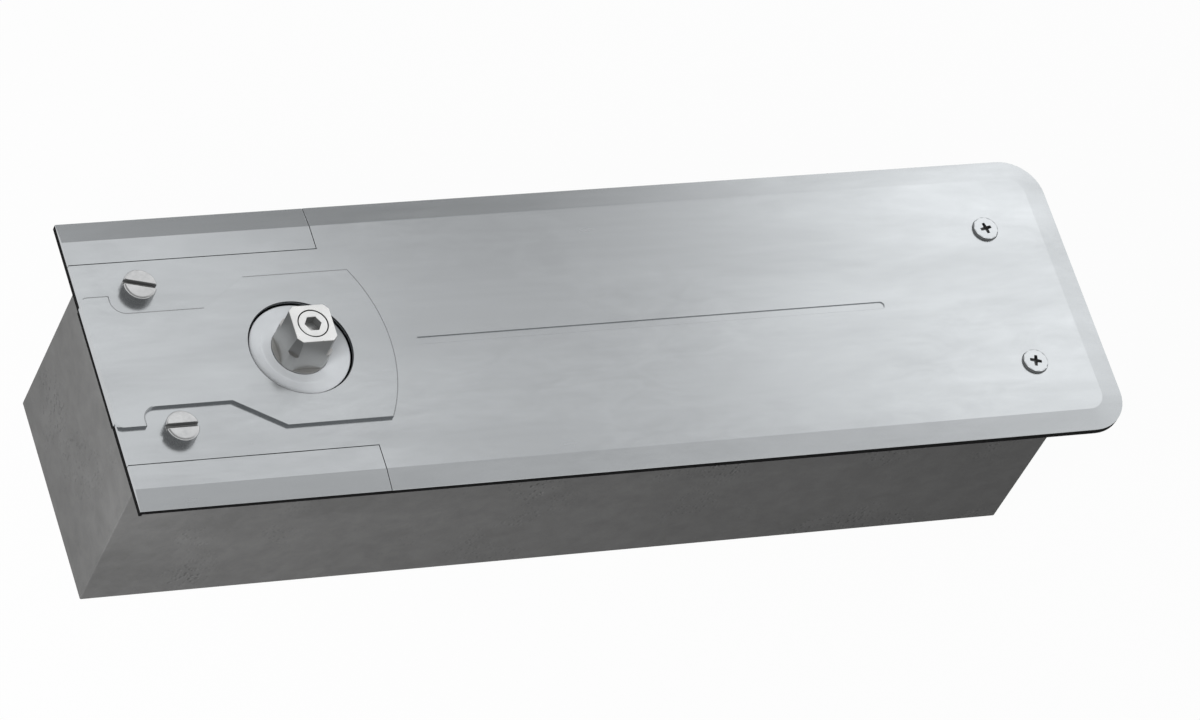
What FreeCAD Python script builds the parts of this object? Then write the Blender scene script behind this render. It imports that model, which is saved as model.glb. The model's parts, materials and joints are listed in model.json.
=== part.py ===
import FreeCAD, Part
import math
import os
import re
import Sketcher
from FreeCAD import Placement, Rotation, Vector

# Floor spring door closer, in millimetres.
# The origin is where the spindle's axis meets the finished floor. X runs along the box to its long
# end, Y across it and Z up, so the box hangs below zero and the cover lies on the floor above it.

SIZES = [
    # clearances that several pieces share
    ("overshoot", 1),
    ("small_gap", 0.1),
    ("running_gap", 0.3),
    ("blind_gap", 0.5),
    ("tap_gap", 1),
    # cement box and its corner brackets
    ("box_length", 339.7),
    ("box_side_room", 3.45),
    ("box_foot_room", 9.8),
    ("box_wall", 2.5),
    ("spindle_to_box_end", 63.7),
    ("bracket_thickness", 3),
    ("bracket_reach", 19.5),
    ("bracket_width", 19),
    ("bracket_drop", 22),
    ("bracket_nut_radius", 5.5),
    ("bracket_nut_drop", 10),
    # cover, its gasket and the two corner strips
    ("cover_overhang_near", 6.1),
    ("cover_overhang_far", 14.2),
    ("cover_overhang_side", 16.55),
    ("gasket_thickness", 1.6),
    ("gasket_land", 19.7),
    ("cover_thickness", 1.3),
    ("cover_corner_radius", 14),
    ("bevel_width", 7.75),
    ("bevel_drop", 1),
    ("strip_length", 86.4),
    ("strip_width", 16.5),
    ("strip_gap", 0.35),
    ("groove_start", 41.9),
    ("groove_end_margin", 76.6),
    ("groove_width", 2.8),
    ("groove_depth", 0.4),
    # opening in the cover, under the centre plate
    ("opening_neck_half", 14),
    ("opening_neck_end", 20),
    ("opening_wide_start", 9.5),
    ("opening_wide_half", 25.6),
    ("opening_end", 25.8),
    # centre plate
    ("centre_plate_thickness", 1.3),
    ("plate_tab_half", 24.9),
    ("plate_tab_length", 9.8),
    ("plate_tab_radius", 2.5),
    ("plate_neck_half", 17.9),
    ("plate_neck_radius", 5),
    ("plate_neck_end", 28.8),
    ("plate_wide_start", 12.4),
    ("plate_wide_half", 28.7),
    ("plate_arc_radius", 59.4),
    ("plate_arc_centre", 27.5),
    ("plate_hole_radius", 17.7),
    ("plate_hole_chamfer", 0.5),
    ("plate_lip_reach", 0.3),
    ("plate_lip_drop", 1.7),
    ("plate_tongue_thickness", 1.2),
    ("plate_tongue_length", 20),
    ("plate_tongue_clearance", 0.3),
    # screws that hold the cover
    ("cover_screw_aside", 8.8),
    ("slotted_screw_inset", 12.2),
    ("slotted_head_radius", 5.65),
    ("slotted_head_height", 3.9),
    ("slotted_head_chamfer", 0.5),
    ("slot_width", 1.6),
    ("slot_depth", 1.8),
    ("slotted_shank_radius", 3),
    ("cross_screw_inset", 11.7),
    ("cross_head_radius", 4.55),
    ("cross_head_height", 1.3),
    ("cross_head_cone", 1.2),
    ("cross_head_shoulder", 0.3),
    ("cross_head_crown", 1.2),
    ("cross_shank_radius", 2.5),
    ("cross_slot_length", 5.2),
    ("cross_slot_width", 1.2),
    ("cross_slot_depth", 2),
    ("cover_screw_drop", 11),
    ("screw_hole_clearance", 0.3),
    ("thread_clearance", 0.03),
    # spindle
    ("insert_top", 18.3),
    ("insert_top_half", 7),
    ("insert_base_half", 8.1),
    ("insert_ledge", 3.5),
    ("insert_radius", 9.6),
    ("insert_corner_half", 8.7),
    ("insert_corner_length", 8),
    ("insert_shank_half", 5.5),
    ("insert_shank_length", 13),
    ("insert_screw_head_radius", 4.9),
    ("insert_screw_head_height", 6),
    ("insert_screw_radius", 3),
    ("insert_screw_length", 40),
    ("insert_screw_flat", 5),
    ("insert_screw_socket", 3.5),
    ("insert_screw_sink", 0.05),
    ("counterbore_radius", 5.25),
    ("shaft_top", 0.8),
    ("shaft_radius", 10),
    ("shaft_neck_radius", 7),
    ("shaft_flat_half", 5.5),
    ("shaft_pilot_radius", 5),
    ("shaft_foot_gap", 0.2),
    ("shaft_tap_depth", 13),
    ("shaft_fit", 0.05),
    # housing casting
    ("bore_wall", 5),
    ("bore_radius", 21.5),
    ("bore_blind_gap", 1.5),
    ("housing_end_wall", 11),
    ("housing_end_room", 28.5),
    ("chamber_wall", 6.5),
    ("bore_roof", 2.5),
    ("head_block_end", 40),
    ("end_block_length", 21),
    ("barrel_wall", 3.5),
    ("rib_half", 8),
    ("chamber_gap", 0.7),
    ("chamber_floor_gap", 1.1),
    ("footboss_radius", 17),
    ("footboss_floor", 3.2),
    ("footboss_overlap", 5),
    ("casting_fillet", 3),
    # bearing cap, seal and upper bearing
    ("cap_gasket_thickness", 0.5),
    ("cap_thickness", 6),
    ("cap_left", 43.5),
    ("cap_right", 37),
    ("cap_side_inset", 0.5),
    ("cap_hub_top", 0.5),
    ("cap_hub_radius", 17.2),
    ("cap_skirt_radius", 18.5),
    ("cap_skirt_lip", 1),
    ("cap_skirt_gap", 0.6),
    ("cap_throat_gap", 1),
    ("cap_screw_aside", 1),
    ("cap_screw_left", 38),
    ("cap_screw_middle", 15.5),
    ("cap_screw_right", 31),
    ("cap_screw_radius", 2.5),
    ("cap_screw_head_radius", 4.25),
    ("cap_screw_head_height", 5),
    ("cap_screw_flat", 4),
    ("cap_screw_length", 18),
    ("seal_radius", 15),
    ("seal_top", 1.5),
    ("seal_height", 7),
    ("seal_lip_height", 1.2),
    ("seal_lip_taper", 1),
    ("seal_hollow", 2),
    ("bearing_seal_gap", 2.5),
    ("bearing_height", 16),
    ("bearing_radius", 14),
    ("bearing_cup_wall", 1.4),
    ("bearing_cup_lip", 1),
    ("bearing_lip_inset", 0.5),
    ("needle_cage_rim", 1.2),
    ("needle_cage_gap", 0.3),
    ("circlip_height", 1),
    ("circlip_radius", 14.7),
    ("circlip_gap_half", 2),
    ("cover_ring_radius", 17.2),
    ("cover_ring_top", 3),
    ("cover_ring_clearance", 0.3),
    ("cover_ring_step", 0.25),
    ("cover_ring_rim", 1),
    # thrust bearing and lower bush under the spindle
    ("thrust_radius", 12),
    ("thrust_height", 9),
    ("thrust_washer_thickness", 2.6),
    ("thrust_roller_length", 4.5),
    ("thrust_cage_thickness", 1.8),
    ("thrust_washer_play", 0.2),
    ("bush_radius", 7),
    ("bush_length", 6.8),
    # cam, rollers and carriage
    ("cam_thickness", 14),
    ("cam_start", 17.5),
    ("cam_rise", 15.3),
    ("cam_gap", 0.25),
    ("cam_flank_degrees", 172.5),
    ("cam_tip_rise", 0.75),
    ("roller_radius", 7.5),
    ("roller_side_gap", 0.4),
    ("roller_pin_radius", 3.5),
    ("side_plate_gap", 0.4),
    ("side_plate_thickness", 4),
    ("side_plate_half", 16.5),
    ("side_plate_overhang", 9.7),
    ("side_plate_hold", 15.5),
    ("side_plate_corner", 6),
    ("side_plate_slot_left", 19.6),
    ("side_plate_slot_right", 8),
    ("side_plate_slot_half", 7.5),
    ("link_pin_inset", 7.5),
    ("link_pin_radius", 3),
    ("link_pin_half", 14),
    ("link_pin_play", 0.2),
    ("pin_fit", 0.05),
    ("press_clearance", 0.02),
    # piston and its valve
    ("piston_roller_gap", 3),
    ("piston_length", 34),
    ("piston_fit", 0.05),
    ("piston_spigot_gap", 1.8),
    ("piston_spigot_length", 10),
    ("piston_seal_inset", 12),
    ("piston_seal_width", 3),
    ("piston_seal_depth", 2.8),
    ("check_valve_across", 8),
    ("check_passage_radius", 1.8),
    ("check_room_radius", 3.4),
    ("check_room_depth", 7.5),
    ("check_ball_radius", 2.8),
    ("check_ball_gap", 0.1),
    ("check_ring_thickness", 1),
    # spring and its adjuster
    ("spring_side_gap", 2),
    ("spring_wire_wide", 6.5),
    ("spring_wire_high", 7),
    ("spring_pitch", 20),
    ("spring_plate_back", 29),
    ("spring_plate_thickness", 6),
    ("spring_plate_fit", 0.2),
    ("spring_hub_length", 8),
    ("key_half", 3),
    ("key_height", 2),
    ("adjuster_reach", 45),
    ("adjuster_thread_radius", 6),
    ("adjuster_collar_radius", 8.5),
    ("adjuster_collar_length", 4),
    ("adjuster_stem_radius", 5),
    ("adjuster_stick_out", 5),
    ("adjuster_flat", 5),
    ("adjuster_socket", 5),
    # end cap
    ("end_cap_thickness", 8),
    ("end_cap_rim", 2),
    ("end_cap_corner", 6),
    ("end_cap_spigot", 5),
    ("end_screw_inset", 2.5),
    ("o_ring_width", 2),
    ("o_ring_depth", 1.7),
    ("end_groove_inset", 1.5),
    ("adjuster_seal_inset", 1),
    # valves and filling plug
    ("valve_along", 24),
    ("valve_across", 19.5),
    ("valve_radius", 3.5),
    ("valve_length", 17.3),
    ("valve_cone_height", 3),
    ("valve_tip_radius", 1),
    ("valve_cone_step", 0.5),
    ("valve_top_sink", 0.2),
    ("valve_ring_drop", 8.5),
    ("passage_radius", 0.8),
    ("passage_above_tip", 0.5),
    ("closing_port_gap", 18),
    ("latching_port_gap", 6),
    ("fill_plug_along", 130),
    ("fill_boss_radius", 8),
    ("fill_boss_top", 15),
    ("fill_plug_radius", 4),
    ("fill_plug_flat", 11),
    ("fill_plug_head", 4),
    ("fill_washer_thickness", 0.8),
    ("fill_washer_rim", 0.5),
    # studs and nuts that carry the housing in the box
    ("stud_radius", 3),
    ("stud_hole_radius", 3.4),
    ("stud_top", 10),
    ("left_stud_inset", 5.5),
    ("left_stud_across", 12),
    ("right_stud_inset", 9),
    ("right_stud_aside", 5.5),
    ("nut_flat", 10),
    ("nut_height", 5),
]

# Levels and edges that are worked out from the sizes above.
PLACES = {
    # widths from the cam and the bore outwards
    "chamber_radius": "cam_start + cam_rise - roller_radius + chamber_gap",
    "housing_half": "chamber_radius + chamber_wall",
    "cap_half": "housing_half - cap_side_inset",
    "cap_screw_across": "chamber_radius + cap_screw_aside",
    "right_stud_across": "housing_half - right_stud_aside",
    "barrel_radius": "bore_radius + barrel_wall",
    "end_cap_half": "bore_radius + end_cap_rim",
    "end_screw_across": "bore_radius - end_screw_inset",
    "spring_radius": "bore_radius - spring_side_gap",
    "piston_spigot_radius": "spring_radius - spring_wire_wide - piston_spigot_gap",
    # levels from the floor down: seal, upper bearing, carriage and cam, then the bore round them
    "bearing_top": "seal_top + seal_height + bearing_seal_gap",
    "circlip_bottom": "bearing_top + bearing_height + circlip_height",
    "cap_skirt_bottom": "circlip_bottom + cap_skirt_lip",
    "carriage_top": "cap_skirt_bottom + cap_skirt_gap",
    "cam_clearance": "side_plate_thickness + side_plate_gap",
    "bore_level": "carriage_top + cam_clearance + cam_thickness / 2",
    "housing_top": "bore_level - bore_radius - bore_roof",
    "housing_bottom": "bore_level + bore_radius + bore_wall",
    "chamber_floor": "bore_level + cam_thickness / 2 + cam_clearance + chamber_floor_gap",
    "footboss_bottom": "chamber_floor + thrust_height + bush_length + blind_gap + footboss_floor",
    "valve_bottom": "valve_length + valve_top_sink - cap_high",
    "valve_ring_top": "valve_ring_drop - cap_high",
    "passage_level": "valve_bottom - passage_above_tip",
    "box_depth": "housing_bottom + box_foot_room + box_wall",
    "box_left": "-spindle_to_box_end",
    "box_right": "box_left + box_length",
    "box_half": "housing_half + box_side_room + box_wall",
    "inner_left": "box_left + box_wall",
    "inner_right": "box_right - box_wall",
    "inner_half": "box_half - box_wall",
    "box_floor": "box_wall - box_depth",
    "cover_left": "box_left - cover_overhang_near",
    "cover_right": "box_right + cover_overhang_far",
    "cover_half": "box_half + cover_overhang_side",
    "cover_top": "gasket_thickness + cover_thickness",
    "plate_top": "cover_top + centre_plate_thickness",
    "strip_right": "cover_left + strip_length",
    "strip_inside": "cover_half - strip_width",
    "groove_end": "cover_right - groove_end_margin",
    "slotted_screw_along": "inner_left + slotted_screw_inset",
    "cross_screw_along": "inner_right - cross_screw_inset",
    "cover_screw_across": "inner_half - cover_screw_aside",
    "bore_axis": "-bore_level",
    "housing_low": "-housing_bottom",
    "housing_high": "-housing_top",
    "housing_left": "bore_blind_end + housing_end_wall",
    "housing_right": "inner_right - housing_end_room",
    "end_block_start": "housing_right - end_block_length",
    "bore_blind_end": "side_plate_left + bore_blind_gap",
    "left_stud_back": "housing_left - left_stud_inset",
    "right_stud_along": "housing_right - right_stud_inset",
    "cap_bottom": "housing_high + cap_gasket_thickness",
    "cap_high": "cap_bottom + cap_thickness",
    "cup_top": "-bearing_top",
    "cup_bottom": "cup_top - bearing_height",
    "cup_inside": "bearing_radius - bearing_cup_wall",
    "needle_circle": "(cup_inside + shaft_radius) / 2",
    "needle_radius": "(cup_inside - shaft_radius) / 2 - shaft_fit",
    "needle_cage_high": "cup_top - bearing_cup_lip - needle_cage_gap",
    "needle_cage_low": "cup_bottom + needle_cage_gap",
    "needle_high": "needle_cage_high - needle_cage_rim",
    "needle_low": "needle_cage_low + needle_cage_rim",
    "cam_low": "bore_axis - cam_thickness / 2",
    "cam_high": "bore_axis + cam_thickness / 2",
    "upper_plate_low": "cam_high + side_plate_gap",
    "upper_plate_high": "upper_plate_low + side_plate_thickness",
    "lower_plate_high": "cam_low - side_plate_gap",
    "lower_plate_low": "lower_plate_high - side_plate_thickness",
    "tail_roller_place": "-(cam_start + cam_rise)",
    "side_plate_left": "side_plate_overhang - tail_roller_place",
    "side_plate_right": "piston_start + side_plate_hold",
    "link_pin_along": "side_plate_right - link_pin_inset",
    "thrust_top": "-chamber_floor",
    "thrust_low": "thrust_top - thrust_height",
    "thrust_middle": "thrust_top - thrust_height / 2",
    "thrust_circle": "(shaft_pilot_radius + thrust_radius) / 2",
    "thrust_roller_radius": "thrust_height / 2 - thrust_washer_thickness - shaft_fit",
    "bush_low": "thrust_low - bush_length",
    "piston_radius": "bore_radius - piston_fit",
    "piston_start": "cam_start + roller_radius + piston_roller_gap",
    "piston_slot_end": "side_plate_right + blind_gap",
    "piston_end": "piston_start + piston_length",
    "piston_seal_start": "piston_end - piston_seal_inset",
    "spigot_end": "piston_end + piston_spigot_length",
    "closing_port_along": "piston_end + closing_port_gap",
    "latching_port_along": "piston_end + latching_port_gap",
    "check_seat": "piston_start + check_room_depth",
    "spring_plate_start": "housing_right - spring_plate_back",
    "spring_length": "spring_plate_start - piston_end",
    "keyway_low": "bore_axis - bore_radius - key_height",
    "adjuster_start": "housing_right - adjuster_reach",
    "adjuster_end": "end_cap_outside + adjuster_stick_out",
    "end_cap_inside": "housing_right - end_cap_spigot",
    "end_cap_outside": "housing_right + end_cap_thickness",
    "collar_end": "end_cap_inside - small_gap",
    "collar_start": "collar_end - adjuster_collar_length",
}

FULL_TURN = 360
EIGHTH_TURN = 45
UPRIGHT = Rotation()
ALONG_X = Rotation(Vector(0, 1, 0), 90)
NEEDLE_COUNT = 12
THRUST_ROLLER_COUNT = 8
CAM_POINTS = 8
TOUCHING = 0.001
NEAR = 0.01

doc = FreeCAD.newDocument("floor_spring")
sheet = doc.addObject("Spreadsheet::Sheet", "Sizes")
parts = {}


def fill_sheet():
    """Write each driving size in its own cell, under its own alias."""
    for row, (name, value) in enumerate(SIZES, start=1):
        sheet.set(f"A{row}", name.replace("_", " "))
        sheet.set(f"B{row}", str(value))
        sheet.setAlias(f"B{row}", name)
    doc.recompute()


def formula(text):
    """Turn a formula of plain names into one that refers to the sheet."""

    def reference(match):
        name = match.group()
        if name in PLACES:
            return f"({formula(PLACES[name])})"
        return f"Sizes.{name}" if name in SIZE_NAMES else name

    return re.sub(r"[a-z][a-z_]*", reference, text)


SIZE_NAMES = {name for name, value in SIZES}


def value(text):
    """Work a formula out as a number, as the start of a sketch's own geometry or of a curve."""
    return float(sheet.evalExpression(formula(text)))


def bind(obj, prop, text):
    obj.setExpression(prop, formula(text))


def keep(label, obj):
    """Name a finished sub-part."""
    obj.Label = label
    parts[label] = obj
    return obj


def put(obj, x="0", y="0", z="0", turn=UPRIGHT):
    """Place an object by formulas."""
    obj.Placement = Placement(Vector(), turn)
    for axis, text in (("x", x), ("y", y), ("z", z)):
        bind(obj, f"Placement.Base.{axis}", text)
    return obj


# Primitives and booleans


def block(name, x, y, z):
    """A box between pairs of formulas."""
    obj = doc.addObject("Part::Box", name)
    for prop, (low, high) in (("Length", x), ("Width", y), ("Height", z)):
        bind(obj, prop, f"({high}) - ({low})")
    return put(obj, x[0], y[0], z[0])


def rod(name, radius, low, high, x="0", y="0"):
    """An upright cylinder."""
    obj = doc.addObject("Part::Cylinder", name)
    bind(obj, "Radius", radius)
    bind(obj, "Height", f"({high}) - ({low})")
    return put(obj, x, y, low)


def bar(name, radius, start, end, y="0", z="bore_axis"):
    """A cylinder along X."""
    obj = doc.addObject("Part::Cylinder", name)
    bind(obj, "Radius", radius)
    bind(obj, "Height", f"({end}) - ({start})")
    return put(obj, start, y, z, ALONG_X)


def cut(name, base, *tools):
    obj = doc.addObject("Part::Cut", name)
    obj.Base = base
    obj.Tool = tools[0] if len(tools) == 1 else join(name + "_tools", *tools)
    return obj


def join(name, *pieces):
    obj = doc.addObject("Part::MultiFuse", name)
    obj.Shapes = list(pieces)
    obj.Refine = True
    return obj


def common(name, *pieces):
    obj = doc.addObject("Part::MultiCommon", name)
    obj.Shapes = list(pieces)
    return obj


def copies(label, source, places, turns=None):
    """Separate solids of one fastener, kept as one sub-part."""
    links = []
    for number, (x, y, z) in enumerate(places):
        link = doc.addObject("App::Link", f"{label}_{number + 1}")
        link.LinkedObject = source
        put(link, x, y, z, turns[number] if turns else UPRIGHT)
        links.append(link)
    group = doc.addObject("Part::Compound", label + "_group")
    group.Links = links
    return keep(label, group)


# Bodies with sketches


def new_body(name):
    return doc.addObject("PartDesign::Body", name + "_body")


def new_sketch(body, name, role="XY_Plane", offset="0"):
    """A sketch on one of its body's own origin planes."""
    sketch = body.newObject("Sketcher::SketchObject", name)
    support = next(f for f in body.Origin.OriginFeatures if f.Role == role)
    sketch.AttachmentSupport = [(support, "")]
    sketch.MapMode = "FlatFace"
    bind(sketch, "AttachmentOffset.Base.z", offset)
    return sketch


def fix_point(sketch, geometry, point, u, v):
    """Hold one point of a sketch at two formulas."""
    for kind, text in (("DistanceX", u), ("DistanceY", v)):
        here = sketch.getPoint(geometry, point)
        start = here.x if kind == "DistanceX" else here.y
        number = sketch.addConstraint(Sketcher.Constraint(kind, -1, 1, geometry, point, start))
        bind(sketch, f"Constraints[{number}]", text)


def draw_polygon(sketch, points):
    """A closed outline whose corners are pairs of formulas."""
    corners = [Vector(value(u), value(v), 0) for u, v in points]
    first = sketch.GeometryCount
    count = len(points)
    for number in range(count):
        sketch.addGeometry(Part.LineSegment(corners[number], corners[(number + 1) % count]))
    for number in range(count):
        following = first + (number + 1) % count
        sketch.addConstraint(Sketcher.Constraint("Coincident", first + number, 2, following, 1))
    for number, (u, v) in enumerate(points):
        fix_point(sketch, first + number, 1, u, v)


def draw_circle(sketch, u, v, radius):
    centre = Vector(value(u), value(v), 0)
    number = sketch.addGeometry(Part.Circle(centre, Vector(0, 0, 1), value(radius)))
    fix_point(sketch, number, 3, u, v)
    constraint = sketch.addConstraint(Sketcher.Constraint("Radius", number, value(radius)))
    bind(sketch, f"Constraints[{constraint}]", radius)


def hexagon(flat, u="0", v="0"):
    """The corners of a hexagon of a given size across its flats."""
    side = f"({flat}) / sqrt(3)"
    half = f"({flat}) / 2"
    return [
        (f"{u} + {side}", v),
        (f"{u} + {side} / 2", f"{v} + {half}"),
        (f"{u} - {side} / 2", f"{v} + {half}"),
        (f"{u} - {side}", v),
        (f"{u} - {side} / 2", f"{v} - {half}"),
        (f"{u} + {side} / 2", f"{v} - {half}"),
    ]


def pad(body, sketch, length):
    feature = body.newObject("PartDesign::Pad", sketch.Name + "_pad")
    feature.Profile = sketch
    bind(feature, "Length", length)
    return feature


def pocket(body, sketch, depth):
    feature = body.newObject("PartDesign::Pocket", sketch.Name + "_pocket")
    feature.Profile = sketch
    bind(feature, "Length", depth)
    return feature


def prism(name, points, low, high):
    """A padded outline between two levels."""
    body = new_body(name)
    sketch = new_sketch(body, name + "_outline", offset=low)
    draw_polygon(sketch, points)
    pad(body, sketch, f"({high}) - ({low})")
    return body


def turned(name, profile):
    """A body turned about Z from (radius, height) pairs of formulas."""
    body = new_body(name)
    sketch = new_sketch(body, name + "_profile", "XZ_Plane")
    draw_polygon(sketch, profile)
    feature = body.newObject("PartDesign::Revolution", name + "_turn")
    feature.Profile = sketch
    feature.ReferenceAxis = (sketch, ["V_Axis"])
    feature.Angle = FULL_TURN
    return body


def turned_along_x(name, profile):
    """A body turned about the bore's axis from (place along X, radius) pairs of formulas."""
    body = new_body(name)
    sketch = new_sketch(body, name + "_profile")
    draw_polygon(sketch, profile)
    feature = body.newObject("PartDesign::Revolution", name + "_turn")
    feature.Profile = sketch
    feature.ReferenceAxis = (sketch, ["H_Axis"])
    feature.Angle = FULL_TURN
    bind(body, "Placement.Base.z", "bore_axis")
    return body


def washer(name, inside, outside, low, high):
    return turned(name, [(inside, low), (outside, low), (outside, high), (inside, high)])


def ring_along_x(name, inside, outside, start, end):
    return turned_along_x(name, [(start, inside), (end, inside), (end, outside), (start, outside)])


def edges_where(shape, test):
    """The names of the edges whose middle point passes a test."""
    names = []
    for number, edge in enumerate(shape.Edges, start=1):
        middle = edge.valueAt((edge.FirstParameter + edge.LastParameter) / 2)
        if test(edge, middle):
            names.append(f"Edge{number}")
    return names


def runs_along(edge, direction):
    """Whether a straight edge runs along a direction."""
    start, end = edge.Vertexes[0].Point, edge.Vertexes[-1].Point
    return (end - start).cross(direction).Length < TOUCHING < (end - start).Length


def is_upright(edge):
    return runs_along(edge, Vector(0, 0, 1))


def fillet(body, base, radius, test):
    """Round the edges of a body's feature that pass a test."""
    doc.recompute()
    feature = body.newObject("PartDesign::Fillet", base.Name + "_fillet")
    feature.Base = (base, edges_where(base.Shape, test))
    bind(feature, "Radius", radius)
    return feature


# Cement box


def make_cement_box():
    outer = block("box_outside", ("box_left", "box_right"), ("-box_half", "box_half"), ("-box_depth", "0"))
    inner = block(
        "box_inside",
        ("inner_left", "inner_right"),
        ("-inner_half", "inner_half"),
        ("box_floor", "overshoot"),
    )
    keep("cement_box", cut("cement_box_shell", outer, inner))


def make_bracket(label, side, end_wall, reach, screw_x, screw_radius):
    """An angle welded into a corner of the box, with a welded nut for a cover screw."""
    inside = f"{side} * (inner_half - bracket_width)"
    outside = f"{side} * inner_half"
    y = (inside, outside) if side == 1 else (outside, inside)
    shelf_x = (end_wall, f"{end_wall} + {reach} * bracket_reach")
    flange_x = (end_wall, f"{end_wall} + {reach} * bracket_thickness")
    if reach < 0:
        shelf_x = shelf_x[::-1]
        flange_x = flange_x[::-1]
    shelf = block(label + "_shelf", shelf_x, y, ("-bracket_thickness", "0"))
    flange = block(label + "_flange", flange_x, y, ("-bracket_drop", "0"))
    screw_y = f"{side} * cover_screw_across"
    nut = rod(label + "_nut", "bracket_nut_radius", "-bracket_nut_drop", "0", screw_x, screw_y)
    hole_radius = f"{screw_radius} + thread_clearance"
    hole = rod(label + "_hole", hole_radius, "-box_depth", "overshoot", screw_x, screw_y)
    keep(label, cut(label + "_cut", join(label + "_joined", shelf, flange, nut), hole))


def make_brackets():
    ends = (
        ("spindle_end", "inner_left", 1, "slotted_screw_along", "slotted_shank_radius"),
        ("far_end", "inner_right", -1, "cross_screw_along", "cross_shank_radius"),
    )
    for end, wall, reach, screw_x, radius in ends:
        for side_name, side in (("rear", 1), ("front", -1)):
            make_bracket(f"{end}_{side_name}_bracket", side, wall, reach, screw_x, radius)


# Cover, strips, centre plate and gasket


def cover_screw_places():
    """Each cover screw's place, with its shank's size."""
    kinds = (
        ("slotted_screw_along", "slotted_shank_radius"),
        ("cross_screw_along", "cross_shank_radius"),
    )
    return [(x, f"{side} * cover_screw_across", radius) for x, radius in kinds for side in (1, -1)]


def cover_screw_holes(name, low, high):
    return [
        rod(f"{name}_{number}", f"{radius} + screw_hole_clearance", low, high, x, y)
        for number, (x, y, radius) in enumerate(cover_screw_places())
    ]


def cover_outline(name, low, high):
    """The cover's outline, cut straight at the spindle's end and rounded at the far end."""
    corners = [
        ("cover_left", "-cover_half"),
        ("cover_right", "-cover_half"),
        ("cover_right", "cover_half"),
        ("cover_left", "cover_half"),
    ]
    body = prism(name, corners, low, high)
    far_end = lambda edge, middle: is_upright(edge) and middle.x > 0
    fillet(body, body.Tip, "cover_corner_radius", far_end)
    return body


def bevel(body):
    """Slope the top of the cover down to its rim, but not along its straight end."""
    doc.recompute()
    top = value("cover_top")
    base = body.Tip
    left = value("cover_left")
    on_rim = lambda edge, middle: abs(middle.z - top) < NEAR and middle.x > left + NEAR
    names = edges_where(base.Shape, on_rim)
    feature = body.newObject("PartDesign::Chamfer", "rim_bevel")
    feature.Base = (base, names)
    feature.ChamferType = "Two distances"
    bind(feature, "Size", "bevel_width")
    bind(feature, "Size2", "bevel_drop")
    feature.FlipDirection = True
    return feature


def make_cover():
    blank = cover_outline("cover_blank", "gasket_thickness", "cover_top")
    bevel(blank)
    past_end = "cover_left - overshoot"
    through = ("0", "cover_top + overshoot")
    notches = []
    for side_name, side in (("rear", 1), ("front", -1)):
        inside = f"{side} * strip_inside"
        gap_line = f"{side} * (strip_inside - strip_gap)"
        rim = f"{side} * (cover_half + overshoot)"
        strip_y = (inside, rim) if side == 1 else (rim, inside)
        notch_y = (gap_line, rim) if side == 1 else (rim, gap_line)
        region = block(f"{side_name}_strip_region", (past_end, "strip_right"), strip_y, through)
        notch_x = (past_end, "strip_right + strip_gap")
        notches.append(block(f"{side_name}_notch", notch_x, notch_y, through))
        keep(f"{side_name}_corner_strip", common(f"{side_name}_strip_piece", blank, region))
    cones = [
        cone(f"cover_cone_{side}", "cross_screw_along", f"{side} * cover_screw_across") for side in (1, -1)
    ]
    holes = cover_screw_holes("cover_hole", *through)
    tools = notches + holes + cones + [cover_opening()] + cover_groove()
    keep("cover_plate", cut("cover_plate_cut", blank, *tools))


def cone(name, x, y):
    """The countersink that a raised countersunk head sits in."""
    obj = doc.addObject("Part::Cone", name)
    bind(obj, "Radius1", "cross_shank_radius + screw_hole_clearance")
    bind(obj, "Radius2", "cross_head_radius + small_gap")
    bind(obj, "Height", "cross_head_cone")
    return put(obj, x, y, "cover_top - cross_head_cone")


def cover_opening():
    """The opening over the spindle and the valves, open to the straight end."""
    corners = [
        ("cover_left - overshoot", "-opening_neck_half"),
        ("-opening_neck_end", "-opening_neck_half"),
        ("-opening_wide_start", "-opening_wide_half"),
        ("opening_end", "-opening_wide_half"),
        ("opening_end", "opening_wide_half"),
        ("-opening_wide_start", "opening_wide_half"),
        ("-opening_neck_end", "opening_neck_half"),
        ("cover_left - overshoot", "opening_neck_half"),
    ]
    return prism("cover_opening", corners, "0", "cover_top + overshoot")


def cover_groove():
    """The shallow centre line on the cover, square at one end and round at the other."""
    low = "cover_top - groove_depth"
    high = "cover_top + overshoot"
    half = "groove_width / 2"
    round_x = f"groove_end - {half}"
    straight = block("groove_run", ("groove_start", round_x), (f"-{half}", half), (low, high))
    return [straight, rod("groove_round", half, low, high, round_x)]


def make_gasket():
    sheet_body = cover_outline("gasket_blank", "0", "gasket_thickness")
    window = block(
        "gasket_window",
        ("inner_left + gasket_land", "inner_right - gasket_land"),
        ("-inner_half", "inner_half"),
        ("-overshoot", "gasket_thickness + overshoot"),
    )
    holes = cover_screw_holes("gasket_hole", "-overshoot", "gasket_thickness + overshoot")
    keep("cover_gasket", cut("cover_gasket_cut", sheet_body, window, *holes))


def centre_plate_outline():
    """Half of the plate's outline, from the straight end round to the wide end."""
    return [
        ("cover_left - plate_lip_reach", "plate_tab_half"),
        ("cover_left + plate_tab_length", "plate_tab_half"),
        ("cover_left + plate_tab_length", "plate_neck_half"),
        ("-plate_neck_end", "plate_neck_half"),
        ("-plate_wide_start", "plate_wide_half"),
        ("plate_arc_radius", "plate_wide_half"),
    ]


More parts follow.
